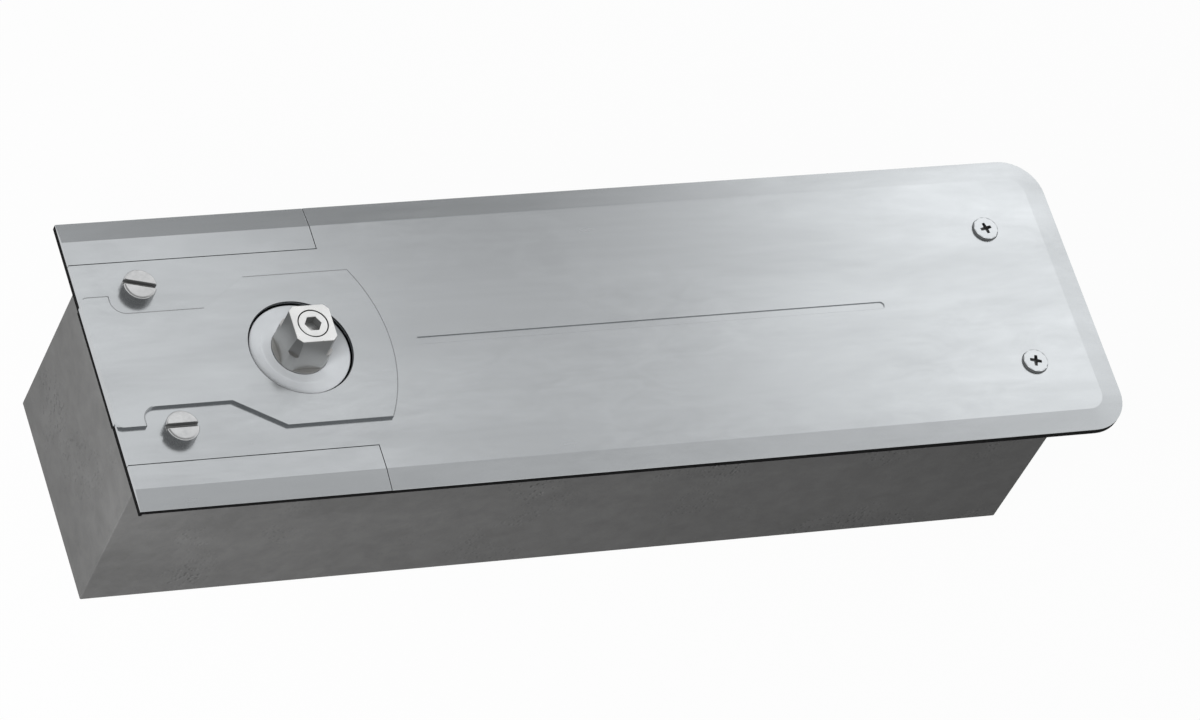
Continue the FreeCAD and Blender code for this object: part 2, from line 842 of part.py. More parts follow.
def make_centre_plate():
    upper = centre_plate_outline()
    lower = [(x, f"-({y})") for x, y in reversed(upper)]
    body = prism("centre_plate_sheet", lower + upper, "cover_top", "plate_top")
    round_corners_at(body, "plate_neck_radius", "cover_left + plate_tab_length", "plate_neck_half")
    round_corners_at(body, "plate_tab_radius", "cover_left - plate_lip_reach", "plate_tab_half")
    high = "plate_top + overshoot"
    arc = rod("plate_arc", "plate_arc_radius", "0", high, "-plate_arc_centre")
    sheet_piece = common("centre_plate_arched", body, arc)
    hole = rod("plate_hole", "plate_hole_radius", "0", high)
    chamfer = doc.addObject("Part::Cone", "plate_hole_chamfer_cone")
    bind(chamfer, "Radius1", "plate_hole_radius")
    bind(chamfer, "Radius2", "plate_hole_radius + plate_hole_chamfer")
    bind(chamfer, "Height", "plate_hole_chamfer")
    put(chamfer, z="plate_top - plate_hole_chamfer")
    plate = cut("centre_plate_cut", sheet_piece, hole, chamfer)
    keep("centre_plate", join("centre_plate_piece", plate, *plate_tongues(), plate_lip()))


def round_corners_at(body, radius, x, across):
    """Round the two upright edges that stand at a place along X, on either side of the middle."""
    along, aside = value(x), value(across)

    def is_corner(edge, middle):
        there = abs(middle.x - along) + abs(abs(middle.y) - aside) < NEAR
        return there and is_upright(edge)

    fillet(body, body.Tip, radius, is_corner)


def plate_tongues():
    """Bent tongues that hold the plate between the sides of the cover's opening."""
    x = ("-plate_neck_end - plate_tongue_length", "-plate_neck_end")
    z = ("gasket_thickness + small_gap", "plate_top - small_gap")
    far = "(opening_neck_half - plate_tongue_clearance)"
    near = f"({far} - plate_tongue_thickness)"
    return [
        block("rear_tongue", x, (near, far), z),
        block("front_tongue", x, (f"-{far}", f"-{near}"), z),
    ]


def plate_lip():
    """The turned-down lip over the cover's straight end."""
    half = "plate_tab_half - plate_tab_radius"
    return block(
        "plate_lip",
        ("cover_left - plate_lip_reach", "cover_left"),
        (f"-({half})", half),
        ("cover_top - plate_lip_drop", "cover_top"),
    )


# Cover screws


def make_slotted_screws():
    chamfer_low = "cover_top + slotted_head_height - slotted_head_chamfer"
    head_high = "cover_top + slotted_head_height"
    profile = [
        ("0", "-cover_screw_drop"),
        ("slotted_shank_radius", "-cover_screw_drop"),
        ("slotted_shank_radius", "cover_top"),
        ("slotted_head_radius", "cover_top"),
        ("slotted_head_radius", chamfer_low),
        ("slotted_head_radius - slotted_head_chamfer", head_high),
        ("0", head_high),
    ]
    blank = turned("slotted_screw", profile)
    slot = block(
        "screw_slot",
        ("-slotted_head_radius - overshoot", "slotted_head_radius + overshoot"),
        ("-slot_width / 2", "slot_width / 2"),
        (f"{head_high} - slot_depth", f"{head_high} + overshoot"),
    )
    screw = cut("slotted_screw_cut", blank, slot)
    places = [("slotted_screw_along", f"{side} * cover_screw_across", "0") for side in (1, -1)]
    turns = [Rotation(Vector(0, 0, 1), angle) for angle in (-15.6, 0)]
    copies("slotted_cover_screws", screw, places, turns)


def make_cross_screws():
    head_high = "cover_top + cross_head_height"
    profile = [
        ("0", "-cover_screw_drop"),
        ("cross_shank_radius", "-cover_screw_drop"),
        ("cross_shank_radius", "cover_top - cross_head_cone"),
        ("cross_head_radius", "cover_top"),
        ("cross_head_radius - cross_head_shoulder", "cover_top + cross_head_height / 2"),
        ("cross_head_radius - cross_head_crown", head_high),
        ("0", head_high),
    ]
    blank = turned("cross_screw", profile)
    depth = (f"{head_high} - cross_slot_depth", f"{head_high} + overshoot")
    long_side = ("-cross_slot_length / 2", "cross_slot_length / 2")
    short_side = ("-cross_slot_width / 2", "cross_slot_width / 2")
    recess = join(
        "cross_recess",
        block("cross_slot_along", long_side, short_side, depth),
        block("cross_slot_across", short_side, long_side, depth),
    )
    screw = cut("cross_screw_cut", blank, recess)
    places = [("cross_screw_along", f"{side} * cover_screw_across", "0") for side in (1, -1)]
    turns = [Rotation(Vector(0, 0, 1), angle) for angle in (12.5, -17)]
    copies("cross_cover_screws", screw, places, turns)


# Spindle


def make_spindle_insert():
    """The square taper that the door's arm fits, on a round collar with a square shank."""
    bar_stock = rod("insert_bar", "insert_radius", "insert_ledge", "insert_top")
    taper = doc.addObject("Part::Wedge", "insert_taper")
    for prop, text in (
        ("Xmin", "-insert_base_half"),
        ("Xmax", "insert_base_half"),
        ("Ymin", "0"),
        ("Ymax", "insert_top - insert_ledge"),
        ("Zmin", "-insert_base_half"),
        ("Zmax", "insert_base_half"),
        ("X2min", "-insert_top_half"),
        ("X2max", "insert_top_half"),
        ("Z2min", "-insert_top_half"),
        ("Z2max", "insert_top_half"),
    ):
        bind(taper, prop, text)
    put(taper, z="insert_ledge", turn=Rotation(Vector(1, 0, 0), 90))
    head = cut("insert_head", common("insert_square", bar_stock, taper), insert_corner_tool())
    collar = rod("insert_collar", "insert_radius", "shaft_top", "insert_ledge")
    half = ("-insert_shank_half", "insert_shank_half")
    shank = block("insert_shank", half, half, ("shaft_top - insert_shank_length", "shaft_top"))
    whole = join("insert_joined", head, collar, shank)
    head_low = "insert_top - insert_screw_head_height"
    high = "insert_top + overshoot"
    counterbore = rod("insert_counterbore", "counterbore_radius", head_low, high)
    hole_radius = "insert_screw_radius + screw_hole_clearance"
    hole = rod("insert_hole", hole_radius, "-bore_level", high)
    keep("spindle_insert", cut("spindle_insert_cut", whole, counterbore, hole))


def insert_corner_tool():
    """What is outside a square turned by 45 degrees, over the top of the insert."""
    low = "insert_top - insert_corner_length"
    high = "insert_top + overshoot"
    wide = ("-insert_radius - overshoot", "insert_radius + overshoot")
    stock = block("insert_corner_stock", wide, wide, (low, high))
    half = ("-insert_corner_half", "insert_corner_half")
    below = f"{low} - overshoot"
    kept = block("insert_corner_kept", half, half, (below, f"{high} + overshoot"))
    turn = Rotation(Vector(0, 0, 1), EIGHTH_TURN)
    put(kept, y="-insert_corner_half * sqrt(2)", z=below, turn=turn)
    return cut("insert_corner_tool", stock, kept)


def make_insert_screw():
    head_low = "insert_top - insert_screw_head_height"
    head_high = "insert_top - insert_screw_sink"
    foot = "insert_top - insert_screw_length"
    profile = [
        ("0", foot),
        ("insert_screw_radius", foot),
        ("insert_screw_radius", head_low),
        ("insert_screw_head_radius", head_low),
        ("insert_screw_head_radius", head_high),
        ("0", head_high),
    ]
    body = turned("insert_screw", profile)
    socket = new_sketch(body, "insert_screw_hexagon", offset=head_high)
    draw_polygon(socket, hexagon("insert_screw_flat"))
    pocket(body, socket, "insert_screw_socket")
    keep("spindle_insert_screw", body)


def make_spindle_shaft():
    neck_high = "-cap_skirt_bottom - running_gap"
    foot = "bush_low + shaft_foot_gap"
    profile = [
        ("0", foot),
        ("shaft_pilot_radius", foot),
        ("shaft_pilot_radius", "thrust_top"),
        ("shaft_neck_radius", "thrust_top"),
        ("shaft_neck_radius", neck_high),
        ("shaft_radius", neck_high),
        ("shaft_radius", "shaft_top"),
        ("0", "shaft_top"),
    ]
    blank = turned("shaft_blank", profile)
    wide = ("-shaft_radius", "shaft_radius")
    neck = ("thrust_top", neck_high)
    flats = [
        block("rear_flat", wide, ("shaft_flat_half", "shaft_radius"), neck),
        block("front_flat", wide, ("-shaft_radius", "-shaft_flat_half"), neck),
    ]
    half = "insert_shank_half + press_clearance"
    across = (f"-({half})", half)
    socket_low = "shaft_top - insert_shank_length - blind_gap"
    socket = block("shaft_socket", across, across, (socket_low, "shaft_top + overshoot"))
    tap_low = f"{socket_low} - shaft_tap_depth"
    tap = rod("shaft_tap", "insert_screw_radius + thread_clearance", tap_low, "shaft_top")
    keep("spindle_shaft", cut("spindle_shaft_cut", blank, *flats, socket, tap))


# Cam and carriage


def cam_flank():
    """Points on one flank of the cam, from its valley to its tip.

    The rollers' centres follow a spiral that moves out by the same amount for each degree, and
    the flank is that spiral moved in by a roller's radius and the running gap."""
    start = value("cam_start")
    rise = value("cam_rise") / math.pi
    inset = value("roller_radius + cam_gap")
    sweep = math.radians(value("cam_flank_degrees"))
    points = []
    for step in range(CAM_POINTS + 1):
        angle = sweep * step / CAM_POINTS
        reach = start + rise * angle
        slope = math.hypot(reach, rise)
        centre = Vector(reach * math.cos(angle), reach * math.sin(angle), 0)
        outward = Vector(
            (reach * math.cos(angle) + rise * math.sin(angle)) / slope,
            (reach * math.sin(angle) - rise * math.cos(angle)) / slope,
            0,
        )
        points.append(centre - outward * inset)
    return points


def cam_face():
    """The heart-shaped outline: a round valley, two flanks and a rounded tip."""
    flank = cam_flank()
    mirrored = [Vector(point.x, -point.y, 0) for point in flank]
    valley_middle = Vector(value("cam_start - roller_radius - cam_gap"), 0, 0)
    tip = Vector(flank[-1].x - value("cam_tip_rise"), 0, 0)
    upper = Part.BSplineCurve()
    upper.interpolate(flank)
    lower = Part.BSplineCurve()
    lower.interpolate(mirrored)
    edges = [
        Part.Arc(mirrored[0], valley_middle, flank[0]).toShape(),
        upper.toShape(),
        Part.Arc(flank[-1], tip, mirrored[-1]).toShape(),
        lower.toShape(),
    ]
    return Part.Face(Part.Wire(Part.__sortEdges__(edges)))


def make_cam():
    blank = doc.addObject("Part::Feature", "cam_blank")
    height = value("cam_thickness")
    blank.Shape = cam_face().extrude(Vector(0, 0, height))
    blank.Placement = Placement(Vector(0, 0, value("cam_low")), UPRIGHT)
    through = ("cam_low - overshoot", "cam_high + overshoot")
    hole = rod("cam_hole", "shaft_neck_radius + press_clearance", *through)
    half = "shaft_flat_half + press_clearance"
    wide = ("-shaft_radius", "shaft_radius")
    flats = block("cam_flats", wide, (f"-({half})", half), through)
    keep("cam_disc", cut("cam_disc_cut", blank, common("cam_keyed_hole", hole, flats)))


def make_side_plate(label, low, high):
    """One of the two plates that carry the rollers past the spindle."""
    corners = [
        ("-side_plate_left", "-side_plate_half"),
        ("side_plate_right", "-side_plate_half"),
        ("side_plate_right", "side_plate_half"),
        ("-side_plate_left", "side_plate_half"),
    ]
    body = prism(label + "_blank", corners, low, high)
    closed_end = lambda edge, middle: is_upright(edge) and middle.x < 0
    fillet(body, body.Tip, "side_plate_corner", closed_end)
    over = (f"{low} - overshoot", f"{high} + overshoot")
    slot_left = "side_plate_slot_half - side_plate_slot_left"
    slot_right = "side_plate_slot_right - side_plate_slot_half"
    half = ("-side_plate_slot_half", "side_plate_slot_half")
    tools = [
        rod(label + "_slot_left", "side_plate_slot_half", *over, slot_left),
        rod(label + "_slot_right", "side_plate_slot_half", *over, slot_right),
        block(label + "_slot", (slot_left, slot_right), half, over),
    ]
    for name, x, radius in carriage_pins():
        tools.append(rod(f"{label}_{name}_hole", f"{radius} + press_clearance", *over, x))
    keep(label, cut(label + "_cut", body, *tools))


def carriage_pins():
    return (
        ("main", "cam_start", "roller_pin_radius"),
        ("tail", "tail_roller_place", "roller_pin_radius"),
        ("link", "link_pin_along", "link_pin_radius"),
    )


def make_carriage():
    make_side_plate("upper_side_plate", "upper_plate_low", "upper_plate_high")
    make_side_plate("lower_side_plate", "lower_plate_low", "lower_plate_high")
    for name, x in (("main", "cam_start"), ("tail", "tail_roller_place")):
        pin = rod(f"{name}_pin", "roller_pin_radius", "lower_plate_low", "upper_plate_high", x)
        keep(f"{name}_roller_pin", pin)
        inside = "roller_pin_radius + pin_fit"
        low = "lower_plate_high + roller_side_gap"
        high = "upper_plate_low - roller_side_gap"
        roller = washer(f"{name}_roller_ring", inside, "roller_radius", low, high)
        bind(roller, "Placement.Base.x", x)
        keep(f"{name}_roller", roller)
    ends = ("bore_axis - link_pin_half", "bore_axis + link_pin_half")
    keep("piston_link_pin", rod("link_pin", "link_pin_radius", *ends, "link_pin_along"))


def make_piston():
    groove_end = "piston_seal_start + piston_seal_width"
    groove = "piston_radius - piston_seal_depth"
    profile = [
        ("piston_start", "0"),
        ("piston_start", "piston_radius"),
        ("piston_seal_start", "piston_radius"),
        ("piston_seal_start", groove),
        (groove_end, groove),
        (groove_end, "piston_radius"),
        ("piston_end", "piston_radius"),
        ("piston_end", "piston_spigot_radius"),
        ("spigot_end", "piston_spigot_radius"),
        ("spigot_end", "0"),
    ]
    blank = turned_along_x("piston_blank", profile)
    before = "piston_start - overshoot"
    after = "spigot_end + overshoot"
    y = "check_valve_across"
    tools = [
        plate_slot("upper_plate", before),
        plate_slot("lower_plate", before),
        rod(
            "link_pin_hole",
            "link_pin_radius + press_clearance",
            "bore_axis - link_pin_half - link_pin_play",
            "bore_axis + bore_radius",
            "link_pin_along",
        ),
        bar("check_passage", "check_passage_radius", "piston_start", after, y),
        bar("check_room", "check_room_radius", before, "check_seat", y),
    ]
    keep("piston", cut("piston_cut", blank, *tools))
    start = "piston_seal_start + press_clearance"
    end = f"{groove_end} - press_clearance"
    inside = f"{groove} + press_clearance"
    keep("piston_seal", ring_along_x("piston_seal_ring", inside, "piston_radius", start, end))


def plate_slot(plate, start):
    """The slot in the piston's end that one of the side plates is pinned in."""
    levels = (f"{plate}_low - press_clearance", f"{plate}_high + press_clearance")
    wide = ("-bore_radius", "bore_radius")
    return block(plate + "_slot", (start, "piston_slot_end"), wide, levels)


def make_check_valve():
    """A ball that lets oil back past the piston as the door is opened, and the ring that traps it."""
    ball = doc.addObject("Part::Sphere", "check_ball")
    bind(ball, "Radius", "check_ball_radius")
    put(ball, "check_seat - check_ball_gap - check_ball_radius", "check_valve_across", "bore_axis")
    keep("check_valve_ball", ball)
    outside = "check_room_radius - press_clearance"
    clip_end = "piston_start + check_ring_thickness"
    clip = ring_along_x("check_clip", "check_passage_radius", outside, "piston_start", clip_end)
    bind(clip, "Placement.Base.y", "check_valve_across")
    keep("check_valve_ring", clip)


# Spring and its adjuster


def make_spring():
    """A helical spring of rectangular wire with flat ground ends."""
    helix = doc.addObject("Part::Helix", "spring_line")
    bind(helix, "Pitch", "spring_pitch")
    bind(helix, "Height", "spring_length + spring_wire_high")
    bind(helix, "Radius", "spring_radius - spring_wire_wide / 2")
    wire = doc.addObject("Part::Plane", "spring_wire")
    bind(wire, "Length", "spring_wire_wide")
    bind(wire, "Width", "spring_wire_high")
    wire.Placement = Placement(Vector(), Rotation(Vector(1, 0, 0), 90))
    bind(wire, "Placement.Base.x", "spring_radius - spring_wire_wide")
    bind(wire, "Placement.Base.z", "-spring_wire_high / 2")
    coil = doc.addObject("Part::Sweep", "spring_coil")
    coil.Sections = [wire]
    coil.Spine = (helix, ["Edge1"])
    coil.Solid = True
    coil.Frenet = True
    first = "spring_wire_high / 2"
    ground = rod("spring_ends", "spring_radius + overshoot", first, f"spring_length + {first}")
    spring = common("spring_ground", coil, ground)
    spring.Placement = Placement(Vector(), ALONG_X)
    bind(spring, "Placement.Base.x", "piston_end - spring_wire_high / 2")
    bind(spring, "Placement.Base.z", "bore_axis")
    keep("closing_spring", spring)


def make_spring_plate():
    """The nut plate that the spring leans on, keyed so that the screw draws it along the bore."""
    hub_start = "spring_plate_start - spring_hub_length"
    plate_end = "spring_plate_start + spring_plate_thickness"
    hole = "adjuster_thread_radius + pin_fit"
    rim = "bore_radius - spring_plate_fit"
    profile = [
        (hub_start, hole),
        (plate_end, hole),
        (plate_end, rim),
        ("spring_plate_start", rim),
        ("spring_plate_start", "piston_spigot_radius"),
        (hub_start, "piston_spigot_radius"),
    ]
    plate = turned_along_x("spring_plate_turned", profile)
    key = block(
        "spring_plate_key",
        ("spring_plate_start", plate_end),
        ("-key_half", "key_half"),
        ("keyway_low + running_gap", "bore_axis - bore_radius + key_height"),
    )
    keep("spring_plate", join("spring_plate_piece", plate, key))


def make_adjusting_screw():
    profile = [
        ("adjuster_start", "0"),
        ("adjuster_start", "adjuster_thread_radius"),
        ("collar_start", "adjuster_thread_radius"),
        ("collar_start", "adjuster_collar_radius"),
        ("collar_end", "adjuster_collar_radius"),
        ("collar_end", "adjuster_stem_radius"),
        ("adjuster_end", "adjuster_stem_radius"),
        ("adjuster_end", "0"),
    ]
    body = turned_along_x("adjuster", profile)
    socket = new_sketch(body, "adjuster_hexagon", "YZ_Plane", "adjuster_end")
    draw_polygon(socket, hexagon("adjuster_flat"))
    pocket(body, socket, "adjuster_socket")
    keep("spring_adjusting_screw", body)


def make_end_cap():
    """The cover of the spring's bore, with its seals and screws."""
    corners = [
        ("-end_cap_half", "bore_axis - end_cap_half"),
        ("end_cap_half", "bore_axis - end_cap_half"),
        ("end_cap_half", "bore_axis + end_cap_half"),
        ("-end_cap_half", "bore_axis + end_cap_half"),
    ]
    body = new_body("end_cap_plate")
    outline = new_sketch(body, "end_cap_outline", "YZ_Plane", "housing_right")
    draw_polygon(outline, corners)
    plate = pad(body, outline, "end_cap_thickness")
    fillet(body, plate, "end_cap_corner", lambda edge, middle: runs_along(edge, Vector(1, 0, 0)))
    groove_start = "end_cap_inside + end_groove_inset"
    groove_end = f"{groove_start} + o_ring_width"
    inside_plate = "housing_right + overshoot"
    spigot = turned_along_x("end_cap_spigot_turned", [
        ("end_cap_inside", "0"),
        ("end_cap_inside", "piston_radius"),
        (groove_start, "piston_radius"),
        (groove_start, "piston_radius - o_ring_depth"),
        (groove_end, "piston_radius - o_ring_depth"),
        (groove_end, "piston_radius"),
        (inside_plate, "piston_radius"),
        (inside_plate, "0"),
    ])
    through = ("end_cap_inside - overshoot", "end_cap_outside + overshoot")
    stem = bar("end_cap_stem_hole", "adjuster_stem_radius + pin_fit", *through)
    hole_radius = "cap_screw_radius + screw_hole_clearance"
    screws = [
        bar(f"end_cap_hole_{number}", hole_radius, *through, y, z)
        for number, (x, y, z) in enumerate(end_screw_places())
    ]
    joined = join("end_cap_joined", body, spigot)
    keep("end_cap", cut("end_cap_cut", joined, stem, adjuster_seal_room(), *screws))
    keep("end_cap_o_ring", ring_along_x(
        "end_ring",
        "piston_radius - o_ring_depth + press_clearance",
        "piston_radius",
        f"{groove_start} + press_clearance",
        f"{groove_end} - press_clearance",
    ))


def adjuster_seal_room():
    """The groove in the end cap for the screw's seal, which is made with it."""
    end = "end_cap_outside - adjuster_seal_inset"
    start = f"{end} - o_ring_width"
    outside = "adjuster_stem_radius + pin_fit + o_ring_depth"
    keep("adjuster_seal", ring_along_x(
        "adjuster_ring",
        "adjuster_stem_radius + pin_fit",
        f"{outside} - press_clearance",
        f"{start} + press_clearance",
        f"{end} - press_clearance",
    ))
    return bar("end_cap_seal_room", outside, start, end)


def end_screw_places():
    return [
        ("end_cap_outside", f"{y} * end_screw_across", f"bore_axis + {z} * end_screw_across")
        for y in (1, -1)
        for z in (1, -1)
    ]


def socket_screw(name):
    """A socket head screw that points down, with its head's underside at zero."""
    profile = [
        ("0", "-cap_screw_length"),
        ("cap_screw_radius", "-cap_screw_length"),
        ("cap_screw_radius", "0"),
        ("cap_screw_head_radius", "0"),
        ("cap_screw_head_radius", "cap_screw_head_height"),
        ("0", "cap_screw_head_height"),
    ]
    body = turned(name, profile)
    socket = new_sketch(body, name + "_hexagon", offset="cap_screw_head_height")
    draw_polygon(socket, hexagon("cap_screw_flat"))
    pocket(body, socket, "cap_screw_head_height / 2")
    return body


# Housing


def cast_block(name, start, end):
    """A block of the casting, with rounded upright corners."""
    corners = [
        (start, "-housing_half"),
        (end, "-housing_half"),
        (end, "housing_half"),
        (start, "housing_half"),
    ]
    body = prism(name, corners, "housing_low", "housing_high")
    fillet(body, body.Tip, "casting_fillet", lambda edge, middle: is_upright(edge))
    return body


def oil_passages():
    """The drillings that lead from each valve's well past the piston into the spring's bore."""
    drillings = []
    for (name, side), port in zip(valves(), ("closing_port_along", "latching_port_along")):
        y = f"{side} * valve_across"
        drillings += [
            rod(f"{name}_drop", "passage_radius", "bore_axis", "-valve_bottom", "valve_along", y),
            bar(f"{name}_run", "passage_radius", "valve_along", port, y, "-passage_level"),
            rod(f"{name}_port", "passage_radius", "bore_axis", "-passage_level", port, y),
        ]
    return drillings


def casting_pieces():
    """The two blocks, the barrel between them and what stands out from it."""
    barrel = ("head_block_end - overshoot", "end_block_start + overshoot")
    boss_high = "-chamber_floor - footboss_overlap"
    rib = ("-rib_half", "rib_half")
    return [
        cast_block("head_block", "-housing_left", "head_block_end"),
        cast_block("end_block", "end_block_start", "housing_right"),
        bar("barrel", "barrel_radius", *barrel),
        block("foot_rib", ("0", "end_block_start"), rib, ("housing_low", "bore_axis")),
        rod("foot_boss", "footboss_radius", "-footboss_bottom", boss_high),
        rod("fill_boss", "fill_boss_radius", "bore_axis", "-fill_boss_top", "fill_plug_along"),
    ]


def housing_bores():
    """The cam's chamber, the spring's bore with its keyway, and the seats of the spindle's foot."""
    open_end = "housing_right + overshoot"
    keyway_half = "key_half + small_gap"
    boss_high = "overshoot - fill_boss_top"
    return [
        rod("chamber", "chamber_radius", "thrust_top", "housing_high + overshoot"),
        bar("spring_bore", "bore_radius", "-bore_blind_end", open_end),
        rod("thrust_seat", "thrust_radius + pin_fit", "thrust_low", "thrust_top + overshoot"),
        rod("bush_seat", "bush_radius", "bush_low - blind_gap", "thrust_low + overshoot"),
        rod("fill_hole", "fill_plug_radius + thread_clearance", "bore_axis", boss_high, "fill_plug_along"),
        block(
            "keyway",
            ("adjuster_start", open_end),
            (f"-({keyway_half})", keyway_half),
            ("keyway_low", "bore_axis"),
        ),
    ]


def housing_screw_holes():
    """The holes for the studs, the cap's screws, the end cap's screws and the two valves."""
    above = "housing_high + overshoot"
    tap_radius = "cap_screw_radius + thread_clearance"
    tap_low = "cap_high - cap_screw_length - tap_gap"
    end_tap = ("end_cap_outside - cap_screw_length - tap_gap", "housing_right + overshoot")
    holes = []
    for number, (x, y) in enumerate(stud_places()):
        below = "housing_low - overshoot"
        holes.append(rod(f"stud_hole_{number}", "stud_hole_radius", below, above, x, y))
    for number, (x, y, z) in enumerate(cap_screw_places()):
        holes.append(rod(f"cap_tap_{number}", tap_radius, tap_low, above, x, y))
    for number, (x, y, z) in enumerate(end_screw_places()):
        holes.append(bar(f"end_tap_{number}", tap_radius, *end_tap, y, z))
    for name, side in valves():
        y = f"{side} * valve_across"
        radius = "valve_radius + thread_clearance"
        low = "-valve_bottom - blind_gap"
        holes.append(rod(f"{name}_well", radius, low, above, "valve_along", y))
    return holes


def make_housing():
    casting = join("housing_casting", *casting_pieces())
    hollows = housing_bores() + housing_screw_holes() + oil_passages()
    keep("closer_housing", cut("closer_housing_cut", casting, *hollows))


def make_end_screws():
    places = end_screw_places()
    copies("end_cap_screws", socket_screw("end_screw"), places, [ALONG_X] * len(places))


# Bearing cap and what it holds


def cap_screw_places():
    return [
        (x, f"{side} * cap_screw_across", "cap_high")
        for x in ("-cap_screw_left", "-cap_screw_middle", "cap_screw_right")
        for side in (1, -1)
    ]


def valves():
    return (("closing_speed_valve", 1), ("latching_speed_valve", -1))


def cap_holes(name, low, high):
    """The holes for the cap's screws and the two valves."""
    holes = [
        rod(f"{name}_screw_{number}", "cap_screw_radius + screw_hole_clearance", low, high, x, y)
        for number, (x, y, z) in enumerate(cap_screw_places())
    ]
    for valve, side in valves():
        y = f"{side} * valve_across"
        holes.append(rod(f"{name}_{valve}", "valve_radius + thread_clearance", low, high, "valve_along", y))
    return holes


def make_bearing_cap():
    x = ("-cap_left", "cap_right")
    y = ("-cap_half", "cap_half")
    flange = block("cap_flange", x, y, ("cap_bottom", "cap_high"))
    hub = rod("cap_hub", "cap_hub_radius", "cap_bottom", "-cap_hub_top")
    skirt = rod("cap_skirt", "cap_skirt_radius", "-cap_skirt_bottom", "cap_bottom")
    below = "-cap_skirt_bottom - overshoot"
    clip_room = "circlip_radius + press_clearance"
    hollows = [
        rod("cap_throat", "shaft_radius + cap_throat_gap", below, "0"),
        rod("cap_seal_room", "seal_radius", "-seal_top - seal_height", "0"),
        rod("cap_bearing_room", "bearing_radius", below, "cup_top"),
        rod("cap_circlip_room", clip_room, "cup_bottom - circlip_height", "cup_bottom"),
    ]
    holes = cap_holes("cap", "cap_bottom - overshoot", "cap_high + overshoot")
    joined = join("cap_joined", flange, hub, skirt)
    keep("bearing_cap", cut("bearing_cap_cut", joined, *hollows, *holes))
    copies("bearing_cap_screws", socket_screw("cap_screw"), cap_screw_places())


def make_cap_gasket():
    x = ("-cap_left", "cap_right")
    y = ("-cap_half", "cap_half")
    flat = block("cap_gasket_blank", x, y, ("housing_high", "cap_bottom"))
    through = ("housing_high - overshoot", "cap_bottom + overshoot")
    window = rod("cap_gasket_window", "chamber_radius", *through)
    keep("bearing_cap_gasket", cut("cap_gasket_cut", flat, window, *cap_holes("cap_gasket", *through)))


def make_shaft_seal():
    """A lip seal that closes on the shaft."""
    low = "-seal_top - seal_height"
    high = "-seal_top"
    inside = "shaft_radius + shaft_fit"
    lip_low = f"{high} - seal_lip_height"
    hollow = "shaft_radius + seal_hollow"
    keep("shaft_seal", turned("shaft_seal_ring", [
        ("seal_radius", low),
        ("seal_radius", high),
        (inside, high),
        (inside, lip_low),
        (hollow, f"{lip_low} - seal_lip_taper"),
        (hollow, low),
    ]))


def make_upper_bearing():
    lip = "needle_circle + bearing_lip_inset"
    cup = turned("upper_cup", [
        ("bearing_radius", "cup_bottom"),
        ("bearing_radius", "cup_top"),
        (lip, "cup_top"),
        (lip, "cup_top - bearing_cup_lip"),
        ("cup_inside", "cup_top - bearing_cup_lip"),
        ("cup_inside", "cup_bottom"),
    ])
    keep("upper_bearing_cup", cup)
    circlip = washer(
        "circlip_ring",
        "needle_circle",
        "circlip_radius",
        "cup_bottom - circlip_height + press_clearance",
        "cup_bottom - press_clearance",
    )
    gap = block(
        "circlip_gap",
        ("0", "circlip_radius + overshoot"),
        ("-circlip_gap_half", "circlip_gap_half"),
        ("cup_bottom - circlip_height - overshoot", "cup_bottom + overshoot"),
    )
    keep("bearing_circlip", cut("bearing_circlip_cut", circlip, gap))


def ring_of_rollers(label, source, count):
    """Rollers spread evenly about the spindle, as separate solids of one sub-part."""
    links = []
    for number in range(count):
        link = doc.addObject("App::Link", f"{label}_{number + 1}")
        link.LinkedObject = source
        link.Placement = Placement(Vector(), Rotation(Vector(0, 0, 1), FULL_TURN * number / count))
        links.append(link)
    group = doc.addObject("Part::Compound", label + "_group")
    group.Links = links
    return group


def moved(name, source):
    """A wrapper that keeps a placed solid's own place when it is copied round a ring."""
    group = doc.addObject("Part::Compound", name)
    group.Links = [source]
    return group


def make_needles():
    """The needle rollers that the spindle turns in, and the cage that spaces them."""
    needle = rod("needle", "needle_radius", "needle_low", "needle_high", "needle_circle")
    keep("upper_needles", ring_of_rollers("upper_needles", moved("needle_piece", needle), NEEDLE_COUNT))
    room = rod(
        "needle_room",
        "needle_radius + pin_fit",
        "needle_low - pin_fit",
        "needle_high + pin_fit",
        "needle_circle",
    )
    rooms = ring_of_rollers("needle_rooms", moved("needle_room_piece", room), NEEDLE_COUNT)
    blank = washer(
        "needle_cage_ring",
        "shaft_radius + needle_cage_gap",
        "cup_inside - needle_cage_gap",
        "needle_cage_low",
        "needle_cage_high",
    )
    keep("upper_needle_cage", cut("needle_cage_cut", blank, rooms))


